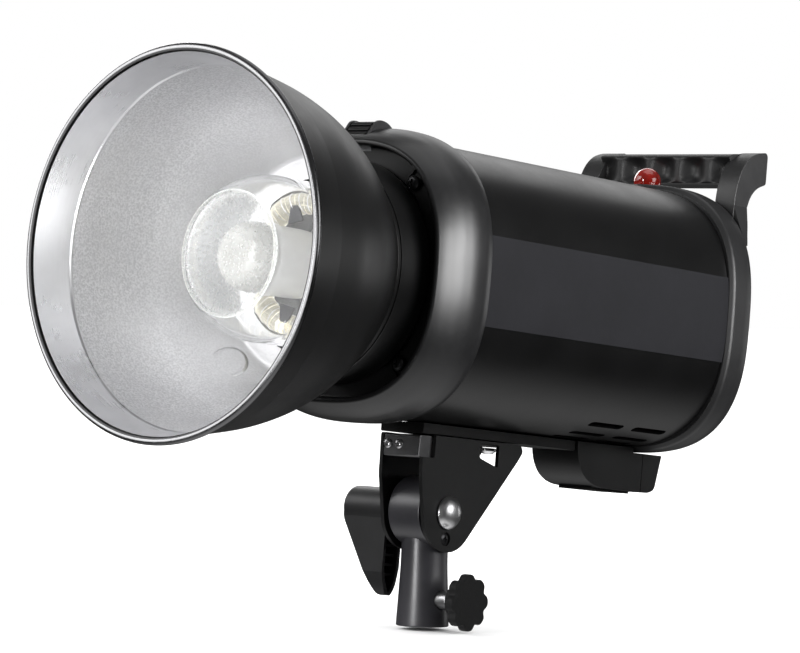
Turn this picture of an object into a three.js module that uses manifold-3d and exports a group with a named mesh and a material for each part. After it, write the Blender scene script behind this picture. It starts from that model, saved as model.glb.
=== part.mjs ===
// Monolight studio strobe with a 7-inch reflector, on a tilting stand bracket.
// Millimetres, +Z up. The origin is the centre of the open lower end of the stand socket,
// the socket's bore runs up +Z, and the light points towards -Y.
import * as THREE from 'three';
import { mergeVertices } from 'three/addons/utils/BufferGeometryUtils.js';
import Module from 'manifold-3d';

const wasm = await Module();
wasm.setup();

// ---------------------------------------------------------------- driving dimensions
const GAP = 0.35;                 // clearance between pieces that rest on each other

const HEAD_PITCH = 4.6;           // degrees, front of the head raised at rest
const PIVOT_HEIGHT = 54;          // tilt axis above the lower end of the socket
const PIVOT_BACK = 47;            // tilt axis behind the collar's rear edge, along the head
const PIVOT_DROP = 106;           // tilt axis below the head's centre line

const SQUARENESS = 2.57;          // superellipse exponent of the rounded-square housing
const COVER_SQUARENESS = 2.8;     // the rear cover has tighter corners
const BODY_HALF = 64.7;           // half the width of the housing across its flats
const BODY_WALL = 2.4;
const BODY_END = 185.4;
const COLLAR_LENGTH = 31;
const COLLAR_REAR = 66.7;
const COLLAR_BULGE = 68.4;
const COLLAR_FRONT = 60.2;
const RECESS_FLOOR = -24.3;
const COVER_HALF = 67.2;
const COVER_START = 185.8;
const COVER_END = 203.2;
const PANEL_BACK = 198.5;         // rear face of the control panel
const PANEL_THICK = 3;

const RIM_RADIUS = 88.6;          // reflector, outside of the rolled bead
const RIM_FRONT = -142.6;
const BOWL_BACK = -47.8;
const NECK_RADIUS = 52;
const SPIGOT_OUT = 41.8;
const SPIGOT_IN = 38.6;
const LUG_RADIUS = 45.5;
const TAB_RADIUS = 42.3;
const BAYONET_ANGLES = [30, 150, 270];
const BAYONET_HALF_ARC = 12.5;
const BAYONET_TWIST = 30;
const RING_FRONT = -21.7;         // light-side bayonet ring
const RING_BACK = -18.7;
const RING_RADIUS = 59.3;
const RING_SCREWS = [[38, 41.4], [-38, 41.4], [38, -41.4], [-38, -41.4]];

const DOME_RADIUS = 38;
const DOME_CENTRE = -78;
const DOME_FRONT = -103;
const DOME_WALL = 2.2;
const PLATE_FRONT = -11;          // lamp plate
const PLATE_BACK = -8;
const FLASH_RING = 29.5;
const FLASH_TUBE = 5.5;
const FLASH_AT = -52;
const LAMP_RADIUS = 16;

const CHEEK_IN = 11.4;            // bracket cheeks, inner and outer faces
const CHEEK_OUT = 13.4;
const BRACKET_TOP = -70.4;
const BARREL_RADIUS = 16.3;
const BARREL_HALF = 9.6;
const BOLT_RADIUS = 3.9;
const BOLT_HOLE = 4.3;
const SOCKET_END_RADIUS = 12.5;
const SOCKET_TOP_RADIUS = 11.05;
const BORE_RADIUS = 8;            // takes a 5/8 inch stand spigot
const BORE_DEPTH = 35;
const CLAMP_HEIGHT = 12.8;

const POST_IN = 38.5;             // handle posts, inner and outer sides
const POST_OUT = 50.5;

// ---------------------------------------------------------------- materials
const finish = (color, roughness, metalness = 0) =>
  new THREE.MeshStandardMaterial({ color, roughness, metalness });
const MATERIAL = {
  shell: finish(0x1b1b1c, 0.38),
  cover: finish(0x2a2a2b, 0.55),
  label: finish(0x323238, 0.7),
  bowl: finish(0x202021, 0.35, 0.2),
  steel: finish(0xb9bbbd, 0.25, 1),
  powder: finish(0x222223, 0.6),
  casting: finish(0x2c2c31, 0.35, 0.3),
  knob: finish(0x262627, 0.75),
  rubber: finish(0x151515, 0.9),
  glass: finish(0xe8eef0, 0.05),
  quartz: finish(0xe6e0c0, 0.1),
  frosted: finish(0xe9e8e4, 0.5),
  ceramic: finish(0xefeade, 0.6),
  brass: finish(0xb08d4a, 0.35, 1),
  red: finish(0xb02010, 0.2),
  screen: finish(0x0c1418, 0.1),
  green: finish(0x1c5a34, 0.6),
  copper: finish(0x8a4a24, 0.4, 0.8),
  sleeve: finish(0x2b3f6b, 0.5),
  aluminium: finish(0xa9abad, 0.45, 0.9),
};

// ---------------------------------------------------------------- solids and booleans
// Turns a three.js geometry into a manifold solid with its faces pointing out.
function solid(geometry) {
  const bare = geometry.clone();
  bare.deleteAttribute('normal');
  bare.deleteAttribute('uv');
  const merged = mergeVertices(bare, 1e-3);
  const places = merged.attributes.position;
  const corners = [];
  let volume = 0;
  const a = new THREE.Vector3(), b = new THREE.Vector3(), c = new THREE.Vector3();
  for (let i = 0; i < merged.index.count; i += 3) {
    const [p, q, r] = [0, 1, 2].map((k) => merged.index.getX(i + k));
    if (p === q || q === r || r === p) continue;
    corners.push([p, q, r]);
    a.fromBufferAttribute(places, p);
    b.fromBufferAttribute(places, q);
    c.fromBufferAttribute(places, r);
    volume += a.dot(b.cross(c));
  }
  const triVerts = Uint32Array.from(corners.flatMap(([p, q, r]) => (volume > 0 ? [p, q, r] : [p, r, q])));
  const vertProperties = Float32Array.from(places.array);
  return new wasm.Manifold(new wasm.Mesh({ numProp: 3, vertProperties, triVerts }));
}

const join = (...solids) => solids.reduce((whole, next) => whole.add(next));
const cut = (whole, ...tools) => tools.reduce((rest, tool) => rest.subtract(tool), whole);

function mesh(name, shape, material) {
  const { vertProperties, triVerts } = shape.getMesh();
  const geometry = new THREE.BufferGeometry();
  geometry.setAttribute('position', new THREE.BufferAttribute(vertProperties, 3));
  geometry.setIndex(new THREE.BufferAttribute(triVerts, 1));
  geometry.computeVertexNormals();
  const node = new THREE.Mesh(geometry, material);
  node.name = name;
  return node;
}

// ---------------------------------------------------------------- shape helpers
const X_AXIS = new THREE.Vector3(1, 0, 0);
const Y_AXIS = new THREE.Vector3(0, 1, 0);
const Z_AXIS = new THREE.Vector3(0, 0, 1);

// Radius of the rounded square at an angle, for a half-width of one.
const squareFactor = (angle, power = SQUARENESS) =>
  (Math.abs(Math.cos(angle)) ** power + Math.abs(Math.sin(angle)) ** power) ** (-1 / power);

const turnedGeometry = (profile, segments) =>
  new THREE.LatheGeometry(profile.map(([r, along]) => new THREE.Vector2(r, along)), segments);

// A solid turned about the head's axis (Y) from (radius, y) points.
const turned = (profile, segments = 40) => solid(turnedGeometry(profile, segments));

// The same, with each round section drawn out to the housing's rounded square.
function squared(profile, power = SQUARENESS, segments = 40) {
  const geometry = turnedGeometry(profile, segments);
  const places = geometry.attributes.position;
  for (let i = 0; i < places.count; i += 1) {
    const x = places.getX(i), z = places.getZ(i);
    const factor = squareFactor(Math.atan2(z, x), power);
    places.setXYZ(i, x * factor, places.getY(i), z * factor);
  }
  return solid(geometry);
}

const turnedAboutZ = (profile, segments, x = 0, y = 0) =>
  solid(turnedGeometry(profile, segments).rotateX(Math.PI / 2).translate(x, y, 0));
const turnedAboutX = (profile, segments, y = 0, z = 0) =>
  solid(turnedGeometry(profile, segments).rotateZ(-Math.PI / 2).translate(0, y, z));

// A box from its lowest corner to its highest.
function box([x0, y0, z0], [x1, y1, z1]) {
  const geometry = new THREE.BoxGeometry(x1 - x0, y1 - y0, z1 - z0);
  return solid(geometry.translate((x0 + x1) / 2, (y0 + y1) / 2, (z0 + z1) / 2));
}

const rodY = (radius, y0, y1, x = 0, z = 0, segments = 16) =>
  solid(new THREE.CylinderGeometry(radius, radius, y1 - y0, segments).translate(x, (y0 + y1) / 2, z));
const rodZ = (radius, z0, z1, x = 0, y = 0, segments = 16) =>
  solid(new THREE.CylinderGeometry(radius, radius, z1 - z0, segments)
    .rotateX(Math.PI / 2).translate(x, y, (z0 + z1) / 2));
const rodX = (radius, x0, x1, y = 0, z = 0, segments = 16) =>
  solid(new THREE.CylinderGeometry(radius, radius, x1 - x0, segments)
    .rotateZ(-Math.PI / 2).translate((x0 + x1) / 2, y, z));

const shapeOf = (points) => new THREE.Shape(points.map(([u, v]) => new THREE.Vector2(u, v)));
const flat = (shape, depth, steps = 6) =>
  new THREE.ExtrudeGeometry(shape, { depth, bevelEnabled: false, curveSegments: steps });

// A (y, z) outline drawn across from x0 to x1, an (x, z) outline along y, an (x, y) outline up z.
const acrossX = (shape, x0, x1, steps) => solid(flat(shape, x1 - x0, steps)
  .applyMatrix4(new THREE.Matrix4().makeBasis(Y_AXIS, Z_AXIS, X_AXIS)).translate(x0, 0, 0));
const alongY = (shape, y0, y1, steps) => solid(flat(shape, y1 - y0, steps)
  .applyMatrix4(new THREE.Matrix4().makeBasis(X_AXIS, Z_AXIS, Y_AXIS)).translate(0, y0, 0));

const arcPoints = (radius, from, to, count, at = [0, 0]) => Array.from({ length: count + 1 }, (_, i) => {
  const angle = THREE.MathUtils.degToRad(from + ((to - from) * i) / count);
  return [at[0] + radius * Math.cos(angle), at[1] + radius * Math.sin(angle)];
});

// A curved bar between two radii and two angles, seen along the head's axis.
const arcBar = (inner, outer, from, to, y0, y1, count = 4) =>
  alongY(shapeOf([...arcPoints(outer, from, to, count), ...arcPoints(inner, to, from, count)]), y0, y1);

// ---------------------------------------------------------------- housing
function bodyShell() {
  const inner = BODY_HALF - BODY_WALL;
  const start = GAP + 0.05;
  let shell = squared([[BODY_HALF, start], [BODY_HALF, BODY_END], [inner, BODY_END], [inner, start],
    [BODY_HALF, start]]);
  // Three rows of two vent slots low on each side, near the back.
  const slotStarts = [117, 151];
  const slotLength = 26;
  const slotWidth = 4.4;
  for (const side of [-1, 1]) {
    for (const angle of [56, 66, 74.5]) {
      const place = THREE.MathUtils.degToRad(angle);
      const reach = BODY_HALF * squareFactor(place);
      for (const from of slotStarts) {
        const bar = new THREE.BoxGeometry(16, slotLength - slotWidth, slotWidth);
        const ends = [-1, 1].map((end) => new THREE.CylinderGeometry(slotWidth / 2, slotWidth / 2, 16, 6)
          .rotateZ(Math.PI / 2).translate(0, (end * (slotLength - slotWidth)) / 2, 0));
        for (const piece of [bar, ...ends]) {
          piece.translate(reach, from + slotLength / 2, 0).rotateY(side > 0 ? place : Math.PI - place);
          shell = cut(shell, solid(piece));
        }
      }
    }
  }
  return shell;
}

const sliderSlot = () => box([-9.6, -27.2, 55], [9.6, -2.8, 80]);

function frontCollar() {
  const outline = [[COLLAR_REAR, 0], [COLLAR_BULGE, -8], [COLLAR_BULGE, -14], [66.2, -22.5], [62.8, -28.5],
    [COLLAR_FRONT, -COLLAR_LENGTH], [58.8, -COLLAR_LENGTH], [58.3, RECESS_FLOOR], [48, RECESS_FLOOR],
    [48, RECESS_FLOOR + 2.2], [60, RECESS_FLOOR + 2.2], [64.2, -14], [64.2, 0], [COLLAR_REAR, 0]];
  const holes = RING_SCREWS.map(([x, z]) => rodY(1.8, -26, -20, x, z, 8));
  return cut(squared(outline), sliderSlot(), ...holes);
}

function bayonetRing() {
  const round = new THREE.Shape().absarc(0, 0, RING_RADIUS, 0, Math.PI * 2);
  round.holes.push(new THREE.Path().absarc(0, 0, 46, 0, Math.PI * 2));
  const tabs = BAYONET_ANGLES.map((angle) => arcBar(TAB_RADIUS, 47.5, angle - BAYONET_HALF_ARC,
    angle + BAYONET_HALF_ARC, RING_FRONT, RING_BACK));
  const holes = RING_SCREWS.map(([x, z]) => rodY(1.8, -23, -17, x, z, 8));
  return cut(join(alongY(round, RING_FRONT, RING_BACK, 16), ...tabs), ...holes);
}

const ringScrew = ([x, z]) => solid(turnedGeometry([[0, -27], [2.2, -27], [3.3, -25.8], [3.3, -24.65],
  [1.4, -24.65], [1.4, -17.5], [0, -17.5]], 8).translate(x, 0, z));

// Block on top of the collar, pushed back to free the reflector. Its front is a ridged thumb ramp.
function releaseSlider() {
  const back = -7.4, foot = 59.8;
  const rampFoot = [-25.8, 62.4], rampTop = [-19.6, 70.2];
  const ridgeCount = 3, ridgeHeight = 0.7;
  const onRamp = (share, height) => [
    rampFoot[0] + (rampTop[0] - rampFoot[0]) * share - height * 0.83,
    rampFoot[1] + (rampTop[1] - rampFoot[1]) * share + height * 0.56,
  ];
  const ramp = [];
  for (let i = 0; i < ridgeCount; i += 1) {
    const [from, to] = [0.2, 0.75].map((share) => (i + share) / ridgeCount);
    ramp.push(onRamp(from, 0), onRamp(from, ridgeHeight), onRamp(to, ridgeHeight), onRamp(to, 0));
  }
  const outline = [[rampFoot[0], foot], rampFoot, ...ramp, rampTop, [-17, 70.7], [-12.8, 69.9], [back, 66.6],
    [back, foot]];
  return acrossX(shapeOf(outline), -8.6, 8.6);
}

function latchPin() {
  const height = 43.9;
  const stem = box([-2, -15.6, height - 1.2], [2, -12.6, 59.45]);
  return join(rodY(1.65, -26.4, -12.8, 0, height, 10), stem);
}

function latchSpring() {
  const turns = 4, stepsPerTurn = 8, radius = 3, from = -11.8, to = -3.6;
  class Coil extends THREE.Curve {
    getPoint(t, target = new THREE.Vector3()) {
      const angle = t * turns * Math.PI * 2;
      return target.set(radius * Math.cos(angle), from + (to - from) * t, 51 + radius * Math.sin(angle));
    }
  }
  const wire = shapeOf(arcPoints(0.5, 0, 270, 3));
  return solid(new THREE.ExtrudeGeometry(wire,
    { extrudePath: new Coil(), steps: turns * stepsPerTurn, bevelEnabled: false }));
}

function sideLabel(side) {
  const half = 18.1, steps = 6, inner = BODY_HALF + 0.4, outer = BODY_HALF + 1;
  const edge = (size, from, to) => arcPoints(1, from, to, steps).map(([x, z]) => {
    const reach = size * squareFactor(Math.atan2(z, x));
    return [side * x * reach, z * reach];
  });
  return alongY(shapeOf([...edge(outer, -half, half), ...edge(inner, half, -half)]), 0.8, BODY_END - 0.2);
}

const bottomRail = () => box([-13.2, 25, -70], [13.2, 139.6, -65.1]);

const FOOT_TOP = -COVER_HALF - 0.4;

function footHousing() {
  const outline = [[140.3, -65.1], [141, -71], [143.5, -77], [147.5, -81.6], [153, -85], [160, -86.5],
    [193, -87], [193, FOOT_TOP], [185.2, FOOT_TOP], [185.2, -65.1]];
  return acrossX(shapeOf(outline), -14.4, 14.4);
}
function footCap() {
  const outline = [[193.4, -87], [201, -86.9], [203.6, -85.4], [205, -82.5], [208.6, FOOT_TOP],
    [193.4, FOOT_TOP]];
  return acrossX(shapeOf(outline), -14.4, 14.4);
}
const footPad = () => box([-10, 158, -88.1], [10, 190, -87 - GAP]);

// ---------------------------------------------------------------- back of the head
const COVER_INSIDE = 62.4;
const rearCover = () => squared([[COVER_HALF - 1.3, COVER_START], [COVER_HALF, COVER_START + 4],
  [COVER_HALF, 199], [COVER_HALF - 0.6, COVER_END], [COVER_INSIDE, COVER_END], [COVER_INSIDE, COVER_START],
  [COVER_HALF - 1.3, COVER_START]], COVER_SQUARENESS);

const BUTTONS = { menu_button: -36, sound_button: -24, lamp_button: 18, test_button: 32 };
const BUTTON_HEIGHT = 2;
const BUTTON_RADIUS = 4;
const DIAL_PLACE = [-6, 2];
const SWITCH_PLACE = [28, -32];
const INLET_PLACE = [-22, -34];
const JACK_PLACE = [6, -34];
const FAN_HALF = 22;

function rearPanel() {
  const front = PANEL_BACK - PANEL_THICK;
  const through = (radius, x, z, segments = 12) => rodY(radius, front - 2, PANEL_BACK + 2, x, z, segments);
  const window = ([x, z], halfWidth, halfHeight) =>
    box([x - halfWidth, front - 2, z - halfHeight], [x + halfWidth, PANEL_BACK + 2, z + halfHeight]);
  const reach = COVER_INSIDE - 0.5;
  return cut(squared([[0, front], [reach, front], [reach, PANEL_BACK], [0, PANEL_BACK]], COVER_SQUARENESS),
    ...Object.values(BUTTONS).map((x) => through(BUTTON_RADIUS + 0.4, x, BUTTON_HEIGHT)),
    through(3.4, ...DIAL_PLACE), through(3.3, ...JACK_PLACE),
    window(SWITCH_PLACE, 7, 10.5), window(INLET_PLACE, 14.4, 11.2));
}

const displayWindow = () => box([-24, PANEL_BACK + GAP, 17], [24, PANEL_BACK + 1.6, 37]);
const button = (x) => turned([[0, 190.5], [BUTTON_RADIUS, 190.5], [BUTTON_RADIUS, 200.2], [3.2, 200.9],
  [0, 200.9]], 12).translate([x, 0, BUTTON_HEIGHT]);

function controlDial() {
  const lobes = 16;
  const rim = Array.from({ length: lobes * 2 }, (_, i) => {
    const angle = (i * Math.PI) / lobes;
    const reach = i % 2 ? 9.4 : 10;
    return [DIAL_PLACE[0] + reach * Math.cos(angle), DIAL_PLACE[1] + reach * Math.sin(angle)];
  });
  return join(alongY(shapeOf(rim), PANEL_BACK + 0.6, 209.5), rodY(3, 189, 200, ...DIAL_PLACE, 12));
}

function powerSwitch() {
  const [x, z] = SWITCH_PLACE;
  const outline = [[193.5, z - 7.5], [200.6, z - 8.6], [199.6, z], [202.2, z + 8.6], [193.5, z + 7.5]];
  return acrossX(shapeOf(outline), x - 6, x + 6);
}

// Chassis inlet with a hollow for the mains connector and its three flat pins.
function mainsInlet() {
  const [x, z] = INLET_PLACE;
  const shellBlock = join(box([x - 14, 182, z - 10.8], [x + 14, 199, z + 10.8]),
    box([x - 16.5, PANEL_BACK + GAP, z - 13], [x + 16.5, 200.6, z + 13]));
  const hollow = box([x - 12, 185, z - 9], [x + 12, 203, z + 9]);
  const pin = (dx, dz) => box([x + dx - 1, 184, z + dz - 2], [x + dx + 1, 197, z + dz + 2]);
  return join(cut(shellBlock, hollow), pin(-7, 0), pin(7, 0), pin(0, 4.5));
}

const syncJack = () => turned([[1.8, 190], [3, 190], [3, PANEL_BACK + 0.4], [5.4, PANEL_BACK + 0.4],
  [5.4, 200.2], [1.8, 200.2], [1.8, 190]], 12).translate([JACK_PLACE[0], 0, JACK_PLACE[1]]);

const photocellDome = () => {
  const base = COVER_HALF + 0.5;
  const profile = [[0, base], [6.3, base], [6.3, 70.2], [5.6, 73], [3.6, 75.4], [0, 76.5]];
  return turnedAboutZ(profile, 16, 0, 197.5);
};

// Two posts that sweep back at the top and flare out at the foot, joined by a bar with finger grooves.
function handle() {
  const base = COVER_END + GAP;
  const foot = 38.6;
  const back = [[207, foot], [208.6, 43], [211.8, 50], [214.2, 57], [217, 64.6], [222, 69.4]];
  const side = [[base, foot], [base, 62], [205, 71], [208.6, 78], [214, 83], [221, 86.6], [227.6, 88],
    [229.2, 86.4], [229.2, 72], ...[...back].reverse()];
  const flare = (sign) => {
    const outline = [[POST_OUT - 1, foot], [59.6, foot], [58.5, 41], [54, 50], [POST_OUT, 57],
      [POST_OUT - 1, 57]];
    const block = alongY(shapeOf(outline.map(([x, z]) => [sign * x, z])), base, 216);
    return cut(block, acrossX(shapeOf([...back.slice(0, 4), [230, 57], [230, foot]]), -62, 62));
  };
  const bar = [[209.6, 70.4], [212, 69.8], [227.6, 69.8], [229.2, 72], [229.2, 86.4], [227.6, 87.4],
    [212.6, 85.8], [209.6, 83.6]];
  const groovePitch = 18.5;
  const grooves = [-2, -1, 0, 1, 2].map((place) => rodZ(11, 72, 82.8, place * groovePitch, 202.6, 16));
  return join(cut(acrossX(shapeOf(bar), -POST_IN - 1, POST_IN + 1), ...grooves),
    acrossX(shapeOf(side), POST_IN, POST_OUT), acrossX(shapeOf(side), -POST_OUT, -POST_IN),
    flare(1), flare(-1));
}

// ---------------------------------------------------------------- reflector
function reflectorBowl() {
  const outside = [[NECK_RADIUS + 0.3, BOWL_BACK], [58.5, -56], [66.6, -68], [73.6, -82], [79, -99],
    [82.6, -120], [86.8, -139]];
  const bead = [[RIM_RADIUS, -140.4], [87.8, RIM_FRONT], [85.9, -142.2], [85.4, -140.6]];
  const inside = [[81.6, -120.3], [77.9, -99.3], [72.6, -82.5], [65.7, -68.8], [57.8, -57],
    [51.6, BOWL_BACK - 1.1], [40.2, BOWL_BACK - 1.1], [40.2, BOWL_BACK]];
  return turned([...outside, ...bead, ...inside, outside[0]], 44);
}

function reflectorRing() {
  const web = -25.4;
  const profile = [[NECK_RADIUS, BOWL_BACK + GAP], [NECK_RADIUS, web], [SPIGOT_OUT, web],
    [SPIGOT_OUT, -16.3], [SPIGOT_IN, -16.3], [SPIGOT_IN, web - 2], [49.6, web - 2],
    [49.6, BOWL_BACK + GAP], [NECK_RADIUS, BOWL_BACK + GAP]];
  const lugs = BAYONET_ANGLES.map((angle) => arcBar(SPIGOT_IN + 1, LUG_RADIUS, angle - BAYONET_HALF_ARC,
    angle + BAYONET_HALF_ARC, RING_BACK + GAP, -16.3, 3));
  // The latch pin stands in this slot, which is as long as the bayonet's twist.
  const slot = arcBar(41.9, 46.2, 90 - 4 - BAYONET_TWIST, 90 + 4 + BAYONET_TWIST, web - 3, web + 0.02, 8);
  return cut(join(turned(profile, 32), ...lugs), slot);
}

// ---------------------------------------------------------------- lamps
function glassDome() {
  const lat = (radius, reach) => Math.sqrt(Math.max(radius * radius - reach * reach, 0));
  const stations = [0, 10, 18, 23];
  const outer = stations.map((reach) => [lat(DOME_RADIUS, reach), DOME_CENTRE - reach]);
  const innerRadius = DOME_RADIUS - DOME_WALL;
  const inner = [...stations].reverse().map((reach) =>
    [lat(innerRadius, reach * 0.95), DOME_CENTRE - reach * 0.95]);
  const base = PLATE_FRONT - GAP;
  return turned([[DOME_RADIUS - 0.6, base], ...outer, [27.5, DOME_FRONT], [0, DOME_FRONT],
    [0, DOME_FRONT + DOME_WALL], [25.5, DOME_FRONT + DOME_WALL], ...inner, [innerRadius - 0.6, base],
    [DOME_RADIUS - 0.6, base]], 26);
}

const LEG_ANGLE = 0.42;           // radians either side of straight down
const FLASH_LEGS = [-1, 1].map((side) =>
  [side * FLASH_RING * Math.sin(LEG_ANGLE), -FLASH_RING * Math.cos(LEG_ANGLE)]);
function flashTube() {
  const ring = solid(new THREE.TorusGeometry(FLASH_RING, FLASH_TUBE, 6, 24).rotateX(Math.PI / 2)
    .translate(0, FLASH_AT, 0));
  return join(ring, ...FLASH_LEGS.map(([x, z]) => rodY(3, FLASH_AT, -24, x, z, 10)));
}
const flashPost = ([x, z]) => solid(turnedGeometry([[3.4, -34], [5, -34], [5, PLATE_FRONT - GAP],
  [0, PLATE_FRONT - GAP], [0, -23.6], [3.4, -23.6], [3.4, -34]], 12).translate(x, 0, z));

const modellingLamp = () => turned([[0, -99.5], [9, -99], [13.6, -96], [LAMP_RADIUS, -90.5],
  [LAMP_RADIUS, -56], [14.6, -47], [11.8, -41.4], [0, -41.4]], 20);
const lampCap = () => turned([[0, -41], [12.6, -41], [12.6, -21], [7, -17.6], [0, -17.6]], 16);
const lampHolder = () => turned([[13.2, -37], [16.6, -37], [16.6, PLATE_FRONT - GAP], [0, PLATE_FRONT - GAP],
  [0, -17.2], [7.4, -17.2], [13.2, -20.6], [13.2, -37]], 18);
// The plate has two ears, each with a stud that stands on the bayonet ring.
const lampPlate = () => join(rodY(41.4, PLATE_FRONT, PLATE_BACK, 0, 0, 32),
  box([-57, PLATE_FRONT, -8], [57, PLATE_BACK, 8]),
  ...[-52, 52].map((x) => rodY(3, RING_BACK + GAP, PLATE_FRONT + 0.5, x, 0, 8)));

// ---------------------------------------------------------------- inside the housing
const chassisPlate = () => box([-32, 6, -50], [32, 182, -48]);
const capacitor = (side) => join(rodY(17, 18, 108, side * 18.5, -29.5, 16));
const powerBoard = () => box([-44, 12, -7], [44, 122, -5.4]);
const transformer = () => join(box([-18, 62, -5], [18, 104, 27]), box([-24, 70, 0], [24, 96, 22]));
const controlBoard = () => box([-45, 186.6, -14], [45, 188.2, 40]);
function fanFrame() {
  return cut(box([-FAN_HALF - 3, 128, -FAN_HALF - 3], [FAN_HALF + 3, 141, FAN_HALF + 3]),
    rodY(FAN_HALF + 1, 126, 136, 0, 0, 24), rodY(9, 130, 143, 0, 0, 12),
    ...[45, 135, 225, 315].map((angle) => arcBar(10.5, FAN_HALF, angle - 40, angle + 40, 135, 143, 6)));
}
function fanRotor() {
  const blade = (i) => solid(new THREE.BoxGeometry(13, 1, 7).rotateX(0.7).translate(14.5, 131.7, 0)
    .rotateY((i * Math.PI * 2) / 7));
  return join(rodY(8.4, 128.4, 135, 0, 0, 14), ...Array.from({ length: 7 }, (_, i) => blade(i)));
}

// ---------------------------------------------------------------- tilt bracket (turns with the head)
const PIVOT = [PIVOT_BACK, -PIVOT_DROP];
function tiltBracket() {
  const nose = arcPoints(18.4, -158, -40, 9, [48.2, -106.2]);
  const outline = [[25.7, BRACKET_TOP], [26.2, -90], ...nose, [96.8, -77.6], [99.6, -73.6],
    [97.6, BRACKET_TOP]];
  const window = [[67.4, -71.6], [81.3, -71.6], [81.3, -82.4], [67.4, -78.6]];
  const cheek = (x0, x1) => cut(acrossX(shapeOf(outline), x0, x1), acrossX(shapeOf(window), x0 - 1, x1 + 1),
    rodX(BOLT_HOLE, x0 - 1, x1 + 1, ...PIVOT, 12));
  const notch = box([CHEEK_IN - 1, 25, -81], [CHEEK_OUT + 1, 34.4, -69]);
  const web = box([-CHEEK_IN - 0.5, 36, BRACKET_TOP - 2], [CHEEK_IN + 0.5, 96, BRACKET_TOP]);
  return join(cut(cheek(CHEEK_IN, CHEEK_OUT), notch), cheek(-CHEEK_OUT, -CHEEK_IN), web);
}
const crossBlock = () =>
  acrossX(shapeOf([[25.6, -70.8], [34.8, -70.8], [34.8, -81.6], [25.6, -81]]), -11, 11);
const railBolt = (y) => turnedAboutZ([[0, -76], [3.4, -76], [4, -75.2], [4, -72.8], [0, -72.8]], 10, 0, y);
const pivotBolt = () => turnedAboutX([[0, 18.8], [3, 18.5], [6, 16.9], [7.8, 14.6], [7.8, CHEEK_OUT + GAP],
  [BOLT_RADIUS, CHEEK_OUT + GAP], [BOLT_RADIUS, -29], [0, -29]], 16, ...PIVOT);
const leverWasher = () => turnedAboutX([[BOLT_HOLE, -13.8], [8, -13.8], [8, -15.6], [BOLT_HOLE, -15.6],
  [BOLT_HOLE, -13.8]], 14, ...PIVOT);

// Ratchet lever: a hub on the pivot bolt and a tapering blade, hollow towards the bracket.
function tiltLever() {
  const hub = turnedAboutX([[BOLT_HOLE, -16], [9.6, -16], [10, -17], [10, -43], [9, -44.2], [0, -44.2],
    [0, -30], [BOLT_HOLE, -30], [BOLT_HOLE, -16]], 20, ...PIVOT);
  const front = 38.2, back = 50.4, wall = 1.8;
  const blade = [[-43.8, -106], [-43.8, -111], [-22.6, -146.4], [-20.6, -148.4], [-17.6, -148.4],
    [-16.6, -144], [-16.6, -106]];
  const hollow = [[-37, -120], [-22.4, -143.6], [-16, -143.6], [-16, -120]];
  const beyondTip = [[[front - 1, -136], [front, -139], [40, -144.5], [43, -148.5], [front - 1, -150]],
    [[back + 1, -134], [back, -137], [48.6, -143], [45.8, -148.5], [back + 1, -150]]];
  const arm = cut(alongY(shapeOf(blade), front, back), alongY(shapeOf(hollow), front + wall, back - wall),
    ...beyondTip.map((corner) => acrossX(shapeOf(corner), -50, -10)));
  const core = rodX(9, -30, -15, ...PIVOT, 12);
  return join(hub, cut(arm, core));
}

// ---------------------------------------------------------------- stand socket (fixed)
function standSocket() {
  const tube = turnedAboutZ([[0, 0], [SOCKET_END_RADIUS, 0], [SOCKET_END_RADIUS, 2],
    [SOCKET_TOP_RADIUS, 30], [SOCKET_TOP_RADIUS, PIVOT_HEIGHT - 8], [0, PIVOT_HEIGHT - 8]], 28);
  const barrel = rodX(BARREL_RADIUS, -BARREL_HALF, BARREL_HALF, 0, PIVOT_HEIGHT, 28);
  const slab = box([-12, -20, PIVOT_HEIGHT - BARREL_RADIUS], [-BARREL_HALF, 20, PIVOT_HEIGHT]);
  const otherSlab = box([BARREL_HALF, -20, PIVOT_HEIGHT - BARREL_RADIUS], [12, 20, PIVOT_HEIGHT]);
  return cut(join(cut(tube, slab, otherSlab), barrel), rodZ(BORE_RADIUS, -1, BORE_DEPTH, 0, 0, 24),
    rodX(BOLT_HOLE, -20, 20, 0, PIVOT_HEIGHT, 12), rodX(4.7, 4, 20, 0, CLAMP_HEIGHT, 12));
}
const frictionWasher = (side) => {
  const [near, far] = [BARREL_HALF + GAP, CHEEK_IN - GAP].map((x) => side * x);
  const profile = [[BOLT_HOLE, near], [13, near], [13, far], [BOLT_HOLE, far], [BOLT_HOLE, near]];
  return turnedAboutX(profile, 20, ...PIVOT);
};
const clampBush = () => turnedAboutX([[3.3, 8.6], [4.3, 8.6], [4.3, 17], [3.3, 17], [3.3, 8.6]], 12, 0,
  CLAMP_HEIGHT);
const clampScrew = () =>
  turnedAboutX([[0, 8.3], [2.2, 8.3], [2.9, 9], [2.9, 26.4], [0, 26.4]], 12, 0, CLAMP_HEIGHT);

function clampKnob() {
  const lobes = 8, points = 48, crown = 13.2, scallop = 1.1;
  const star = Array.from({ length: points }, (_, i) => {
    const angle = (i * Math.PI * 2) / points;
    const reach = crown + scallop * Math.cos(lobes * angle);
    return [reach * Math.cos(angle), CLAMP_HEIGHT + reach * Math.sin(angle)];
  });
  return cut(join(rodX(11, 19.6, 24, 0, CLAMP_HEIGHT, 24), acrossX(shapeOf(star), 22.6, 29.2)),
    rodX(3.3, 18, 26.8, 0, CLAMP_HEIGHT, 12));
}

// ---------------------------------------------------------------- assembly
const monolight = new THREE.Group();
const stand = [
  mesh('stand_socket', standSocket(), MATERIAL.casting),
  mesh('clamp_bush', clampBush(), MATERIAL.steel),
  mesh('clamp_screw', clampScrew(), MATERIAL.steel),
  mesh('clamp_knob', clampKnob(), MATERIAL.knob),
];
monolight.add(...stand);

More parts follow.
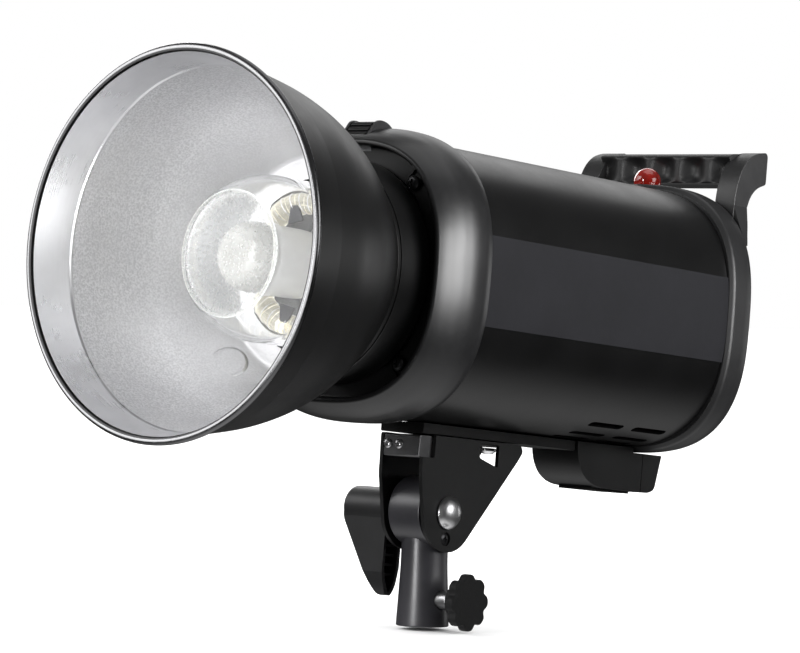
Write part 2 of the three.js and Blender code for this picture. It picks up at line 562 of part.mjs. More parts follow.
// The head's own frame: its axis is Y and its origin is the centre of the collar's rear edge.
const head = new THREE.Group();
head.position.set(0, -PIVOT_BACK, PIVOT_DROP);
const tilt = new THREE.Group();
tilt.position.set(0, 0, PIVOT_HEIGHT);
tilt.rotation.x = -THREE.MathUtils.degToRad(HEAD_PITCH);
tilt.add(head);
monolight.add(tilt);

head.add(
  mesh('body_shell', bodyShell(), MATERIAL.shell),
  mesh('front_collar', frontCollar(), MATERIAL.shell),
  mesh('bayonet_ring', bayonetRing(), MATERIAL.aluminium),
  ...RING_SCREWS.map((place, i) => mesh(`ring_screw_${i + 1}`, ringScrew(place), MATERIAL.powder)),
  mesh('release_slider', releaseSlider(), MATERIAL.cover),
  mesh('latch_pin', latchPin(), MATERIAL.steel),
  mesh('latch_spring', latchSpring(), MATERIAL.steel),
  mesh('side_label_right', sideLabel(1), MATERIAL.label),
  mesh('side_label_left', sideLabel(-1), MATERIAL.label),
  mesh('bottom_rail', bottomRail(), MATERIAL.cover),
  mesh('foot_housing', footHousing(), MATERIAL.cover),
  mesh('foot_cap', footCap(), MATERIAL.cover),
  mesh('foot_pad', footPad(), MATERIAL.rubber),
);
head.add(
  mesh('rear_cover', rearCover(), MATERIAL.cover),
  mesh('rear_panel', rearPanel(), MATERIAL.cover),
  mesh('display_window', displayWindow(), MATERIAL.screen),
  mesh('control_dial', controlDial(), MATERIAL.knob),
  ...Object.entries(BUTTONS).map(([name, x]) =>
    mesh(name, button(x), name === 'test_button' ? MATERIAL.red : MATERIAL.knob)),
  mesh('power_switch', powerSwitch(), MATERIAL.red),
  mesh('mains_inlet', mainsInlet(), MATERIAL.knob),
  mesh('sync_jack', syncJack(), MATERIAL.steel),
  mesh('photocell_dome', photocellDome(), MATERIAL.red),
  mesh('handle', handle(), MATERIAL.cover),
);
head.add(
  mesh('reflector_bowl', reflectorBowl(), MATERIAL.bowl),
  mesh('reflector_ring', reflectorRing(), MATERIAL.bowl),
  mesh('glass_dome', glassDome(), MATERIAL.glass),
  mesh('flash_tube', flashTube(), MATERIAL.quartz),
  ...FLASH_LEGS.map((place, i) => mesh(`flash_post_${i + 1}`, flashPost(place), MATERIAL.ceramic)),
  mesh('modelling_lamp', modellingLamp(), MATERIAL.frosted),
  mesh('lamp_cap', lampCap(), MATERIAL.brass),
  mesh('lamp_holder', lampHolder(), MATERIAL.ceramic),
  mesh('lamp_plate', lampPlate(), MATERIAL.aluminium),
);
head.add(
  mesh('chassis_plate', chassisPlate(), MATERIAL.aluminium),
  mesh('capacitor_right', capacitor(1), MATERIAL.sleeve),
  mesh('capacitor_left', capacitor(-1), MATERIAL.sleeve),
  mesh('power_board', powerBoard(), MATERIAL.green),
  mesh('transformer', transformer(), MATERIAL.copper),
  mesh('control_board', controlBoard(), MATERIAL.green),
  mesh('fan_frame', fanFrame(), MATERIAL.knob),
  mesh('fan_rotor', fanRotor(), MATERIAL.knob),
);
head.add(
  mesh('tilt_bracket', tiltBracket(), MATERIAL.powder),
  mesh('cross_block', crossBlock(), MATERIAL.powder),
  mesh('rail_bolt_front', railBolt(55), MATERIAL.steel),
  mesh('rail_bolt_rear', railBolt(89), MATERIAL.steel),
  mesh('pivot_bolt', pivotBolt(), MATERIAL.steel),
  mesh('lever_washer', leverWasher(), MATERIAL.steel),
  mesh('friction_washer_right', frictionWasher(1), MATERIAL.rubber),
  mesh('friction_washer_left', frictionWasher(-1), MATERIAL.rubber),
  mesh('tilt_lever', tiltLever(), MATERIAL.knob),
);

export default monolight;
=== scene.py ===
"""The looks of a monolight strobe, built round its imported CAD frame.

Pieces are drawn in millimetres, in the head's own frame (its axis is Y, the light points to -Y, and
the origin is the centre of the collar's rear edge) or in the stand's frame (the row frame itself).
"""
import math

import bmesh
import bpy
from mathutils import Matrix, Vector


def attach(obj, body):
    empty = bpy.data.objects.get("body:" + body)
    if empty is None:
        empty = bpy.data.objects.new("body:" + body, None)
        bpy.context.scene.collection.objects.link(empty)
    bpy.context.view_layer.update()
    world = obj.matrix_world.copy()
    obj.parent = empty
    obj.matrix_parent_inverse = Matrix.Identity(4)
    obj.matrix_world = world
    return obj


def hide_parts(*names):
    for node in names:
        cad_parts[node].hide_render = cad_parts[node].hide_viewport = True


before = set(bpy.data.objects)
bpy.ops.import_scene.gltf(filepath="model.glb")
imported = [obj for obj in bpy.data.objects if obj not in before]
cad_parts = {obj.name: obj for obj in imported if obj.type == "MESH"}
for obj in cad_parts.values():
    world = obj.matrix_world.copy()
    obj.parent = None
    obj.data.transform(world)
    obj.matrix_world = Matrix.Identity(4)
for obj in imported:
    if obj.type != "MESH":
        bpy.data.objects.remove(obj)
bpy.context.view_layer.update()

# ------------------------------------------------------------------ driving dimensions, in mm
HEAD_PITCH = math.radians(4.6)
PIVOT_HEIGHT = 54
PIVOT_BACK = 47
PIVOT_DROP = 106

SQUARENESS = 2.57
COVER_SQUARENESS = 2.8
BODY_HALF = 64.7
BODY_WALL = 2.4
BODY_START = 0.4
BODY_END = 185.4
COLLAR_LENGTH = 31
RECESS_FLOOR = -24.3
COVER_HALF = 67.2
COVER_INSIDE = 62.4
COVER_START = 185.8
COVER_END = 203.2
PANEL_BACK = 198.5

RIM_RADIUS = 88.6
NECK_RADIUS = 52
DOME_RADIUS = 38
DOME_CENTRE = -78
DOME_FRONT = -103
DOME_WALL = 2.2
FLASH_RING = 29.5
FLASH_TUBE = 5.5
FLASH_AT = -52
LAMP_RADIUS = 16

POST_IN = 38.5
POST_OUT = 50.5

CHEEK_IN = 11.4
CHEEK_OUT = 13.4
SCREW_PLACES = [(38, 41.4), (-38, 41.4), (38, -41.4), (-38, -41.4)]
CLAMP_HEIGHT = 12.8

MM = 0.001
STAND = Matrix.Scale(MM, 4)
HEAD = (Matrix.Translation((0, 0, PIVOT_HEIGHT * MM)) @ Matrix.Rotation(-HEAD_PITCH, 4, "X")
        @ Matrix.Translation((0, -PIVOT_BACK * MM, PIVOT_DROP * MM)) @ Matrix.Scale(MM, 4))
PIVOT_IN_HEAD = Matrix.Translation((0, PIVOT_BACK, -PIVOT_DROP))


# ------------------------------------------------------------------ shapes
def square_factor(angle, power=SQUARENESS):
    """Radius of the housing's rounded square at an angle, for a half-width of one."""
    c, s = abs(math.cos(angle)), abs(math.sin(angle))
    return (c ** power + s ** power) ** (-1 / power)


def rounded(outline, radius, steps=4, closed=True):
    """The outline with its corners rounded. A point may carry its own radius as a third number."""
    soft = []
    for i, point in enumerate(outline):
        here = Vector(point[:2])
        before = Vector(outline[i - 1][:2]) - here
        after = Vector(outline[(i + 1) % len(outline)][:2]) - here
        reach = min(point[2] if len(point) > 2 else radius, before.length * 0.48, after.length * 0.48)
        if reach < 0.01 or (not closed and i in (0, len(outline) - 1)):
            soft.append(here)
            continue
        start = here + before.normalized() * reach
        end = here + after.normalized() * reach
        for k in range(steps + 1):
            t = k / steps
            soft.append(start * (1 - t) ** 2 + here * 2 * t * (1 - t) + end * t * t)
    return [tuple(p) for p in soft]


def outward(body):
    """The body with all its faces turned outwards."""
    bmesh.ops.recalc_face_normals(body, faces=body.faces)
    if body.calc_volume(signed=True) < 0:
        bmesh.ops.reverse_faces(body, faces=body.faces)
    return body


def skinned(rings, loop=False):
    """A body skinned over rings of points; a ring of one point is a pole."""
    body = bmesh.new()
    made = [[body.verts.new(point) for point in ring] for ring in rings]
    pairs = list(zip(made, made[1:]))
    if loop:
        pairs.append((made[-1], made[0]))
    for near, far in pairs:
        count = max(len(near), len(far))
        for i in range(count if count > 1 else 0):
            j = (i + 1) % count
            corners = [near[i % len(near)], near[j % len(near)], far[j % len(far)], far[i % len(far)]]
            body.faces.new(list(dict.fromkeys(corners)))
    return outward(body)


def turned(profile, segments=128, factor=lambda angle: 1.0, hollow=False):
    """A body turned about Y from (radius, y) points. A hollow one closes its ends with each other."""
    rings = []
    for radius, along in profile:
        if radius < 1e-6:
            rings.append([(0, along, 0)])
            continue
        ring = []
        for i in range(segments):
            angle = 2 * math.pi * i / segments
            reach = radius * factor(angle)
            ring.append((reach * math.cos(angle), along, reach * math.sin(angle)))
        rings.append(ring)
    on_axis = profile[0][0] < 1e-6 and profile[-1][0] < 1e-6
    return skinned(rings, loop=hollow or not on_axis)


def squared(profile, segments=192, power=SQUARENESS):
    return turned(profile, segments, lambda angle: square_factor(angle, power))


def moved(body, *matrices):
    for matrix in matrices:
        body.transform(matrix)
    return body


Y_TO_X = Matrix.Rotation(math.radians(-90), 4, "Z")
Y_TO_Z = Matrix.Rotation(math.radians(90), 4, "X")


def turned_x(profile, segments=96, at=(0, 0)):
    return moved(turned(profile, segments), Y_TO_X, Matrix.Translation((0, *at)))


def turned_z(profile, segments=96, at=(0, 0)):
    return moved(turned(profile, segments), Y_TO_Z, Matrix.Translation((*at, 0)))


PLANES = {"X": lambda u, v, w: (w, u, v), "Y": lambda u, v, w: (u, w, v), "Z": lambda u, v, w: (u, v, w)}


def prism(outline, low, high, axis):
    """An outline drawn out along an axis: (y, z) along X, (x, z) along Y, (x, y) along Z."""
    place = PLANES[axis]
    body = bmesh.new()
    ends = [[body.verts.new(place(u, v, w)) for u, v in outline] for w in (low, high)]
    for end in ends:
        body.faces.new(end)
    for i in range(len(outline)):
        j = (i + 1) % len(outline)
        body.faces.new([ends[0][i], ends[0][j], ends[1][j], ends[1][i]])
    return outward(body)


def oblong(u0, u1, v0, v1):
    return [(u0, v0), (u1, v0), (u1, v1), (u0, v1)]


def block(low, high, edge=0.4, corner=0.0):
    """A box with softened edges, and rounder corners when it is seen along X, if asked."""
    outline = oblong(low[1], high[1], low[2], high[2])
    return softened(prism(rounded(outline, corner) if corner else outline, low[0], high[0], "X"), edge)


def arc(radius, start, end, count, at=(0, 0)):
    points = []
    for i in range(count + 1):
        angle = math.radians(start + (end - start) * i / count)
        points.append((at[0] + radius * math.cos(angle), at[1] + radius * math.sin(angle)))
    return points


def arc_bar(inner, outer, start, end, y0, y1, count=16):
    return prism(arc(outer, start, end, count) + arc(inner, end, start, count), y0, y1, "Y")


def softened(body, width, segments=2, sharp=28):
    """The body with every edge sharper than so many degrees bevelled."""
    edges = [e for e in body.edges if e.calc_face_angle(0) > math.radians(sharp)]
    bmesh.ops.bevel(body, geom=edges, offset=width, offset_type="OFFSET", segments=segments, profile=0.5,
                    affect="EDGES", clamp_overlap=True)
    return body


def together(*bodies):
    """Several bodies in one, left as they are."""
    whole = bmesh.new()
    for body in bodies:
        carrier = bpy.data.meshes.new("carrier")
        body.to_mesh(carrier)
        body.free()
        whole.from_mesh(carrier)
        bpy.data.meshes.remove(carrier)
    return whole


def loose_object(body):
    mesh = bpy.data.meshes.new("loose")
    body.to_mesh(mesh)
    body.free()
    made = bpy.data.objects.new("loose", mesh)
    bpy.context.scene.collection.objects.link(made)
    return made


def combined(how, whole, *others):
    """The boolean of a body with others: UNION or DIFFERENCE."""
    target = loose_object(whole)
    tools = [loose_object(other) for other in others]
    for tool in tools:
        step = target.modifiers.new("step", "BOOLEAN")
        step.operation = how
        step.solver = "EXACT"
        step.object = tool
    shaped = bpy.data.meshes.new_from_object(target.evaluated_get(bpy.context.evaluated_depsgraph_get()))
    result = bmesh.new()
    result.from_mesh(shaped)
    for thing in [target, *tools]:
        mesh = thing.data
        bpy.data.objects.remove(thing)
        bpy.data.meshes.remove(mesh)
    bpy.data.meshes.remove(shaped)
    return result


def cut(whole, *tools):
    return combined("DIFFERENCE", whole, *tools)


def joined(whole, *others):
    return combined("UNION", whole, *others)


def tube_along(points, radius, sides=12):
    """A closed or open tube of round section along points; it is open where the ends differ."""
    count = len(points)
    closed = (Vector(points[0]) - Vector(points[-1])).length < 1e-6
    spine = [Vector(p) for p in (points[:-1] if closed else points)]
    rings = []
    normal = Vector((0, 1, 0))
    for i, here in enumerate(spine):
        ahead = spine[(i + 1) % len(spine)] if closed or i < count - 1 else here
        behind = spine[i - 1] if closed or i > 0 else here
        tangent = (ahead - behind).normalized()
        normal = (normal - tangent * normal.dot(tangent)).normalized()
        side = tangent.cross(normal)
        rings.append([here + radius * (math.cos(a) * normal + math.sin(a) * side)
                      for a in (2 * math.pi * k / sides for k in range(sides))])
    if not closed:
        rings = [[spine[0]], *rings, [spine[-1]]]
    return skinned(rings, loop=closed)


def piece(name, body, place, look, rides, stands_for=(), smooth=32):
    """Makes the body a shown piece that rides on a CAD body and stands for CAD nodes."""
    mesh = bpy.data.meshes.new(name)
    body.to_mesh(mesh)
    body.free()
    mesh.shade_smooth()
    mesh.set_sharp_from_angle(angle=math.radians(smooth))
    for material in look if isinstance(look, list) else [look]:
        mesh.materials.append(material)
    made = bpy.data.objects.new(name, mesh)
    bpy.context.scene.collection.objects.link(made)
    made.matrix_world = place
    weights = made.modifiers.new("even normals", "WEIGHTED_NORMAL")
    weights.keep_sharp = True
    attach(made, rides)
    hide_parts(*stands_for)
    return made


def paint(body, rule):
    """Gives each face the material number that the rule makes of its centre and normal."""
    body.normal_update()
    for face in body.faces:
        face.material_index = rule(face.calc_center_median(), face.normal)
    return body


# ------------------------------------------------------------------ material nodes
def node(tree, kind, inputs=None, **settings):
    made = tree.nodes.new(kind)
    for key, value in settings.items():
        setattr(made, key, value)
    for socket, value in (inputs or {}).items():
        if isinstance(value, bpy.types.NodeSocket):
            tree.links.new(value, made.inputs[socket])
        else:
            made.inputs[socket].default_value = value
    return made


def blank(name):
    material = bpy.data.materials.new(name)
    material.use_nodes = True
    return material.node_tree, material.node_tree.nodes["Principled BSDF"], material


def places(tree, unit):
    """Positions on the piece in mm. The CAD nodes are in metres, so their unit is 1000."""
    object_places = node(tree, "ShaderNodeTexCoord").outputs["Object"]
    return node(tree, "ShaderNodeVectorMath", {0: object_places, "Scale": unit}, operation="SCALE").outputs[0]


def noise(tree, where, size, detail=3.0, roughness=0.55, distortion=0.0):
    """Noise whose features are about so many mm across."""
    inputs = {"Vector": where, "Scale": 1 / size, "Detail": detail, "Roughness": roughness,
              "Distortion": distortion}
    return node(tree, "ShaderNodeTexNoise", inputs).outputs["Fac"]


def spread(tree, value, low, high, start=0.3, end=0.7):
    """The value from start to end, spread from low to high."""
    inputs = {"Value": value, "From Min": start, "From Max": end, "To Min": low, "To Max": high}
    return node(tree, "ShaderNodeMapRange", inputs).outputs["Result"]


def blend_colours(tree, factor, first, second):
    made = node(tree, "ShaderNodeMix", data_type="RGBA")
    colours = {6: first, 7: second}
    for socket, colour in colours.items():
        if isinstance(colour, bpy.types.NodeSocket):
            tree.links.new(colour, made.inputs[socket])
        else:
            made.inputs[socket].default_value = (*colour, 1)
    tree.links.new(factor, made.inputs[0])
    return made.outputs[2]


def add(tree, first, second, share=1.0):
    """first + share x second."""
    return node(tree, "ShaderNodeMath", {0: second, 1: share, 2: first}, operation="MULTIPLY_ADD").outputs[0]


def bumped(tree, shader, height, depth_mm):
    made = node(tree, "ShaderNodeBump", {"Height": height, "Distance": depth_mm * MM, "Strength": 1.0})
    tree.links.new(made.outputs["Normal"], shader.inputs["Normal"])
    return made


def shade_of(colour, factor):
    return tuple(min(1.0, c * factor) for c in colour)


def surface(name, colour, rough, grain=0.6, depth=0.02, cloud=0.14, scuff=0.05, metal=0.0, specular=0.5,
            coat=0.0, unit=1.0):
    """A moulded, painted or cast surface: a fine grain in the bump, and colour and gloss that drift."""
    tree, shader, material = blank(name)
    where = places(tree, unit)
    broad = noise(tree, where, 28, 4)
    fine = noise(tree, where, grain, 2)
    dust = noise(tree, where, 3.5, 6, 0.7)
    drift = add(tree, broad, dust, 0.35)
    tint = spread(tree, drift, 0, 1, 0.45, 0.95)
    colours = blend_colours(tree, tint, shade_of(colour, 1 - cloud), shade_of(colour, 1 + cloud))
    tree.links.new(colours, shader.inputs["Base Color"])
    gloss = add(tree, drift, fine, 0.3)
    tree.links.new(spread(tree, gloss, rough - scuff, rough + scuff, 0.55, 1.05), shader.inputs["Roughness"])
    shader.inputs["Metallic"].default_value = metal
    shader.inputs["Specular IOR Level"].default_value = specular
    shader.inputs["Coat Weight"].default_value = coat
    shader.inputs["Coat Roughness"].default_value = 0.12
    bumped(tree, shader, add(tree, fine, broad, 0.6), depth)
    return material


# Painted shade: the pebbled bowl darkens from y = -78 towards the neck, to half its colour from y = -50.
PAINTED_SHADE_FROM_TO = (-78, -50)


def spun(name, colour, rough, line=0.5, depth=0.004, metal=1.0, grain=0.0, grain_depth=0.0, smear=0.06,
         specular=0.5):
    """Metal spun or turned on the head's axis: fine rings, with an optional pebbled grain and its painted
    shade.
    """
    tree, shader, material = blank(name)
    where = places(tree, 1.0)
    apart = node(tree, "ShaderNodeSeparateXYZ", {0: where})
    flat = node(tree, "ShaderNodeCombineXYZ", {0: apart.outputs[0], 1: apart.outputs[2], 2: 0.0}).outputs[0]
    radius = node(tree, "ShaderNodeVectorMath", {0: flat}, operation="LENGTH").outputs["Value"]
    ring = node(tree, "ShaderNodeCombineXYZ", {0: radius, 1: apart.outputs[1], 2: 0.0}).outputs[0]
    rings = noise(tree, ring, line, 2)
    broad = noise(tree, where, 24, 4)
    tint = spread(tree, add(tree, broad, rings, 0.25), 0, 1, 0.4, 0.85)
    colours = blend_colours(tree, tint, shade_of(colour, 0.93), shade_of(colour, 1.05))
    gloss = add(tree, broad, rings, 0.4)
    height, deepest = rings, depth
    if grain:
        pebbles = noise(tree, where, grain, 1.5, 0.5)
        # Painted shade: the low dimples of the pebbling are coloured darker, as if shaded.
        painted_dimple_shade = spread(tree, pebbles, 0, 1, 0.36, 0.66)
        colours = blend_colours(tree, painted_dimple_shade, shade_of(colour, 0.78), colours)
        # Painted shade: the deep part of the bowl, near the neck, is coloured darker.
        painted_shade_deep = spread(tree, apart.outputs[1], 0, 1, *PAINTED_SHADE_FROM_TO)
        colours = blend_colours(tree, painted_shade_deep, colours, shade_of(colour, 0.5))
        height, deepest = add(tree, pebbles, rings, 0.06), grain_depth
    tree.links.new(colours, shader.inputs["Base Color"])
    tree.links.new(spread(tree, gloss, rough - smear, rough + smear, 0.45, 0.95), shader.inputs["Roughness"])
    shader.inputs["Metallic"].default_value = metal
    shader.inputs["Specular IOR Level"].default_value = specular
    bumped(tree, shader, height, deepest)
    return material


def clear(name, colour, rough=0.02, ior=1.47, ripple=0.02, painted_glow=0.0):
    """Clear glass with a faint ripple, a trace of dust in its gloss and a faint painted glow."""
    tree, shader, material = blank(name)
    where = places(tree, 1.0)
    broad = noise(tree, where, 16, 2)
    dust = noise(tree, where, 1.4, 5)
    shader.inputs["Base Color"].default_value = (*colour, 1)
    shader.inputs["Transmission Weight"].default_value = 1.0
    shader.inputs["IOR"].default_value = ior
    # The emission is a painted glow: the glass gives off light of its own in place of light it catches.
    shader.inputs["Emission Color"].default_value = (*colour, 1)
    shader.inputs["Emission Strength"].default_value = painted_glow
    tree.links.new(spread(tree, dust, rough * 0.4, rough * 2.4, 0.35, 0.8), shader.inputs["Roughness"])
    bumped(tree, shader, broad, ripple)
    return material


def frosted(name):
    """Lamp glass, etched white inside: soft, a little uneven, and bright by a painted glow, as the lamp is
    off.
    """
    tree, shader, material = blank(name)
    where = places(tree, 1.0)
    broad = noise(tree, where, 12, 3)
    fine = noise(tree, where, 0.5, 2)
    colours = blend_colours(tree, spread(tree, broad, 0, 1), (0.27, 0.27, 0.265), (0.31, 0.31, 0.3))
    tree.links.new(colours, shader.inputs["Base Color"])
    tree.links.new(spread(tree, fine, 0.34, 0.48), shader.inputs["Roughness"])
    shader.inputs["Subsurface Weight"].default_value = 0.5
    shader.inputs["Subsurface Radius"].default_value = (0.004, 0.004, 0.0038)
    shader.inputs["Coat Weight"].default_value = 0.5
    shader.inputs["Coat Roughness"].default_value = 0.08
    # Painted glow: the lamp is shown switched off, and this emission stands in for the light its white glass
    # scatters.
    shader.inputs["Emission Color"].default_value = (1.0, 0.99, 0.96, 1)
    shader.inputs["Emission Strength"].default_value = 0.18
    bumped(tree, shader, fine, 0.01)
    return material


def lens(name, colour, painted_glow=0.0):
    """Tinted translucent plastic, moulded with faint inner facets, with a faint painted glow."""
    tree, shader, material = blank(name)
    where = places(tree, 1.0)
    facets = node(tree, "ShaderNodeTexVoronoi", {"Vector": where, "Scale": 0.7}).outputs["Distance"]
    broad = noise(tree, where, 4, 3)
    colours = blend_colours(tree, spread(tree, broad, 0, 1), shade_of(colour, 0.7), shade_of(colour, 1.25))
    tree.links.new(colours, shader.inputs["Base Color"])
    tree.links.new(spread(tree, facets, 0.06, 0.16, 0, 1), shader.inputs["Roughness"])
    shader.inputs["Subsurface Weight"].default_value = 0.35
    shader.inputs["Subsurface Radius"].default_value = (0.003, 0.0008, 0.0005)
    shader.inputs["Coat Weight"].default_value = 0.8
    shader.inputs["Coat Roughness"].default_value = 0.04
    # The emission is a painted glow: the plastic gives off light of its own as well as catching it.
    shader.inputs["Emission Color"].default_value = (*colour, 1)
    shader.inputs["Emission Strength"].default_value = painted_glow
    bumped(tree, shader, facets, 0.015)
    return material


LOOK = {
    "shell": surface("satin black paint", (0.0075, 0.0075, 0.008), 0.33, grain=0.8, depth=0.008, scuff=0.04),
    "collar": surface("moulded black, satin gloss", (0.0085, 0.0085, 0.009), 0.33, grain=1.1, depth=0.006,
                      scuff=0.04),
    "cover": surface("dark grey moulded plastic", (0.0115, 0.0115, 0.012), 0.4, grain=0.55, depth=0.025,
                     specular=0.4),
    "grip": surface("handle plastic", (0.013, 0.013, 0.0135), 0.4, grain=0.5, depth=0.02, specular=0.5),
    # A lighter grey for the slider's cheeks: partly their own grey, partly a painted sheen on their sides.
    "grey_and_sheen": surface("grey moulded plastic", (0.075, 0.075, 0.077), 0.42, grain=0.4, depth=0.05,
                         cloud=0.3, scuff=0.1),
    "label": surface("slate label film", (0.052, 0.052, 0.06), 0.6, grain=0.4, depth=0.012, cloud=0.12,
                     specular=0.3),
    "powder": surface("black powder coat", (0.0105, 0.0105, 0.011), 0.48, grain=0.45, depth=0.04, scuff=0.08,
                      specular=0.45),
    # The powder coat's edges are lighter: partly wear, partly a painted highlight along the bevels.
    "powder_edge_wear_and_highlight": surface("powder coat, worn on the edges", (0.13, 0.13, 0.132), 0.42, grain=0.4,
                           depth=0.04, cloud=0.3, scuff=0.12, specular=0.6),
    "casting": surface("glossy painted casting", (0.055, 0.054, 0.062), 0.36, grain=1.2, depth=0.02,
                       metal=0.1, scuff=0.05, specular=1.0),
    "knob": surface("rough black plastic", (0.0125, 0.0125, 0.013), 0.6, grain=0.7, depth=0.09, scuff=0.1,
                    specular=0.3),
    "lever": surface("smooth grey-black plastic", (0.025, 0.025, 0.026), 0.42, grain=0.6, depth=0.02),
    "rubber": surface("black rubber", (0.012, 0.012, 0.012), 0.8, grain=0.35, depth=0.05),
    "bowl_out": spun("spun satin black", (0.0115, 0.0115, 0.012), 0.38, line=0.7, depth=0.003, metal=0.0),
    "bowl_in": spun("pebbled silver", (0.86, 0.86, 0.872), 0.46, line=0.9, grain=0.95, grain_depth=0.11),
    "bowl_band": spun("spun silver", (0.82, 0.82, 0.835), 0.3, line=0.45, depth=0.006),
    "bead_paint": spun("worn paint on the bead", (0.045, 0.045, 0.046), 0.5, line=0.7, depth=0.006, metal=0.0,
                       specular=0.25),
    "bead": spun("polished bead", (0.12, 0.12, 0.123), 0.26, line=0.3, depth=0.003),
    "chrome": surface("bright plating", (0.72, 0.72, 0.73), 0.32, grain=1.0, depth=0.008, cloud=0.05,
                      scuff=0.07, metal=1.0),
    "steel": surface("turned steel", (0.56, 0.56, 0.57), 0.34, grain=0.35, depth=0.02, cloud=0.1, metal=1.0),
    "black_steel": surface("blackened steel", (0.06, 0.06, 0.063), 0.34, grain=0.5, depth=0.02, metal=0.8),
    "aluminium": spun("turned aluminium", (0.56, 0.57, 0.58), 0.34, line=0.4, depth=0.008),
    "aluminium_cast": surface("cast block, tumbled", (0.2, 0.2, 0.205), 0.38, grain=0.7, depth=0.05,
                              cloud=0.2, scuff=0.08, metal=0.9),
    "white_plate": spun("bright reflector plate", (0.5, 0.5, 0.51), 0.42, line=0.6, depth=0.006),
    # Painted glow on the glasses below: the dome, its fogged front, its ground rim (a painted bright rim) and
    # the quartz tube give off a little light.
    "glass": clear("heat-resistant glass", (0.985, 0.99, 0.99), ior=1.3, painted_glow=0.03),
    "glass_hazy": clear("glass, faintly fogged", (0.97, 0.975, 0.97), rough=0.2, ior=1.2, painted_glow=0.07),
    "ground_glass": clear("ground glass edge", (0.95, 0.96, 0.95), rough=0.25, ior=1.45, painted_glow=0.12),
    "quartz": clear("coated quartz", (0.98, 0.94, 0.8), rough=0.05, ior=1.46, ripple=0.05, painted_glow=0.16),
    "frosted": frosted("frosted lamp glass"),
    "ceramic": surface("white ceramic", (0.74, 0.71, 0.64), 0.42, grain=0.5, depth=0.02, cloud=0.06),
    "brass": surface("brass", (0.62, 0.44, 0.18), 0.28, grain=0.6, depth=0.01, metal=1.0),
    # The red plastic carries a faint painted glow.
    "red": lens("red translucent plastic", (0.42, 0.013, 0.006), painted_glow=0.05),
    "screen": surface("dark display glass", (0.004, 0.007, 0.009), 0.08, grain=2.0, depth=0.002, coat=1.0),
    "print": surface("pale printed ink", (0.55, 0.55, 0.56), 0.55, grain=0.3, depth=0.01, cloud=0.06),
}

# Finishes of the CAD nodes that stay, whose meshes are in metres.
METRES = 1000.0
KEPT = {
    "steel": surface("plated steel, kept", (0.5, 0.51, 0.52), 0.28, grain=0.5, depth=0.02, metal=1.0,
                     unit=METRES),
    "rubber": surface("friction rubber, kept", (0.013, 0.013, 0.013), 0.75, grain=0.4, depth=0.04,
                      unit=METRES),
    "plate": surface("sheet aluminium, kept", (0.5, 0.51, 0.52), 0.36, grain=0.4, depth=0.02, metal=1.0,
                     unit=METRES),
    "board": surface("green board, kept", (0.01, 0.09, 0.035), 0.4, grain=0.8, depth=0.03, cloud=0.3,
                     unit=METRES),
    "sleeve": surface("blue sleeve, kept", (0.012, 0.03, 0.13), 0.3, grain=1.5, depth=0.01, unit=METRES),
    "copper": surface("varnished copper, kept", (0.33, 0.12, 0.04), 0.3, grain=0.6, depth=0.06, metal=0.6,
                      unit=METRES),
    "plastic": surface("black plastic, kept", (0.016, 0.016, 0.017), 0.5, grain=0.6, depth=0.03, unit=METRES),
    "ceramic": surface("ceramic, kept", (0.74, 0.71, 0.64), 0.42, grain=0.5, depth=0.02, unit=METRES),
}
KEPT_NODES = {
    "steel": ["clamp_bush", "clamp_screw", "lever_washer", "latch_pin", "latch_spring"],
    "rubber": ["friction_washer_right", "friction_washer_left"],
    "plate": ["bayonet_ring", "chassis_plate"],
    "board": ["power_board", "control_board"],
    "sleeve": ["capacitor_right", "capacitor_left"],
    "copper": ["transformer"],
    "plastic": ["fan_frame", "fan_rotor"],
}


# ------------------------------------------------------------------ housing
def body_shell():
    inner = BODY_HALF - BODY_WALL
    rows = 20
    lengths = [BODY_START + 0.5 + (BODY_END - BODY_START - 1.0) * i / rows for i in range(rows + 1)]
    profile = [(BODY_HALF - 0.45, BODY_START)] + [(BODY_HALF, y) for y in lengths]
    profile += [(BODY_HALF - 0.45, BODY_END)] + [(inner, y) for y in reversed(lengths)]
    slot_length, slot_width = 26, 4.4
    cutters = []
    for angle in (56, 66, 74.5):
        for tilt in (math.radians(angle), math.pi - math.radians(angle)):
            reach = BODY_HALF * square_factor(tilt)
            for start in (117, 151):
                ends = [start + slot_width / 2, start + slot_length - slot_width / 2]
                outline = (arc(slot_width / 2, 180, 360, 8, (0, ends[0]))
                           + arc(slot_width / 2, 0, 180, 8, (0, ends[1])))
                bar = prism([(y, z) for z, y in outline], reach - 8, reach + 8, "X")
                cutters.append(moved(bar, Matrix.Rotation(tilt, 4, "Y")))
    shell = cut(squared(profile), together(*cutters))
    piece("shell_painted", shell, HEAD, LOOK["shell"], "head", ["body_shell"])


def collar():
    behind_floor = RECESS_FLOOR + 2.2
    outline = [(67.2, 0, 0.5), (68.3, -4, 3), (68.5, -12, 4), (66.4, -21.5, 5), (63.2, -27.6, 3),
               (60.6, -31, 1.1), (58.6, -31, 0.7), (58.2, RECESS_FLOOR, 1.2), (48, RECESS_FLOOR, 0.4),
               (48, behind_floor, 0.2), (60, behind_floor, 0.2), (64.2, -14, 0.2), (64.2, 0, 0.2)]
    body = squared(rounded(outline, 0.5, 6))
    slot = prism(rounded(oblong(-9.6, 9.6, -27.2, -2.8), 2), 56, 80, "Z")
    pockets = []
    for x, z in SCREW_PLACES:
        toward_rim = Vector((x, z)).normalized() * 3.4
        for along in (0, 1):
            at = (x + toward_rim[0] * along, z + toward_rim[1] * along)
            pockets.append(prism(arc(4.7, 0, 352.5, 47, at), -34, RECESS_FLOOR + 1.1, "Y"))
    body = cut(body, slot, *pockets)
    piece("collar_moulding", body, HEAD, LOOK["collar"], "head", ["front_collar"])


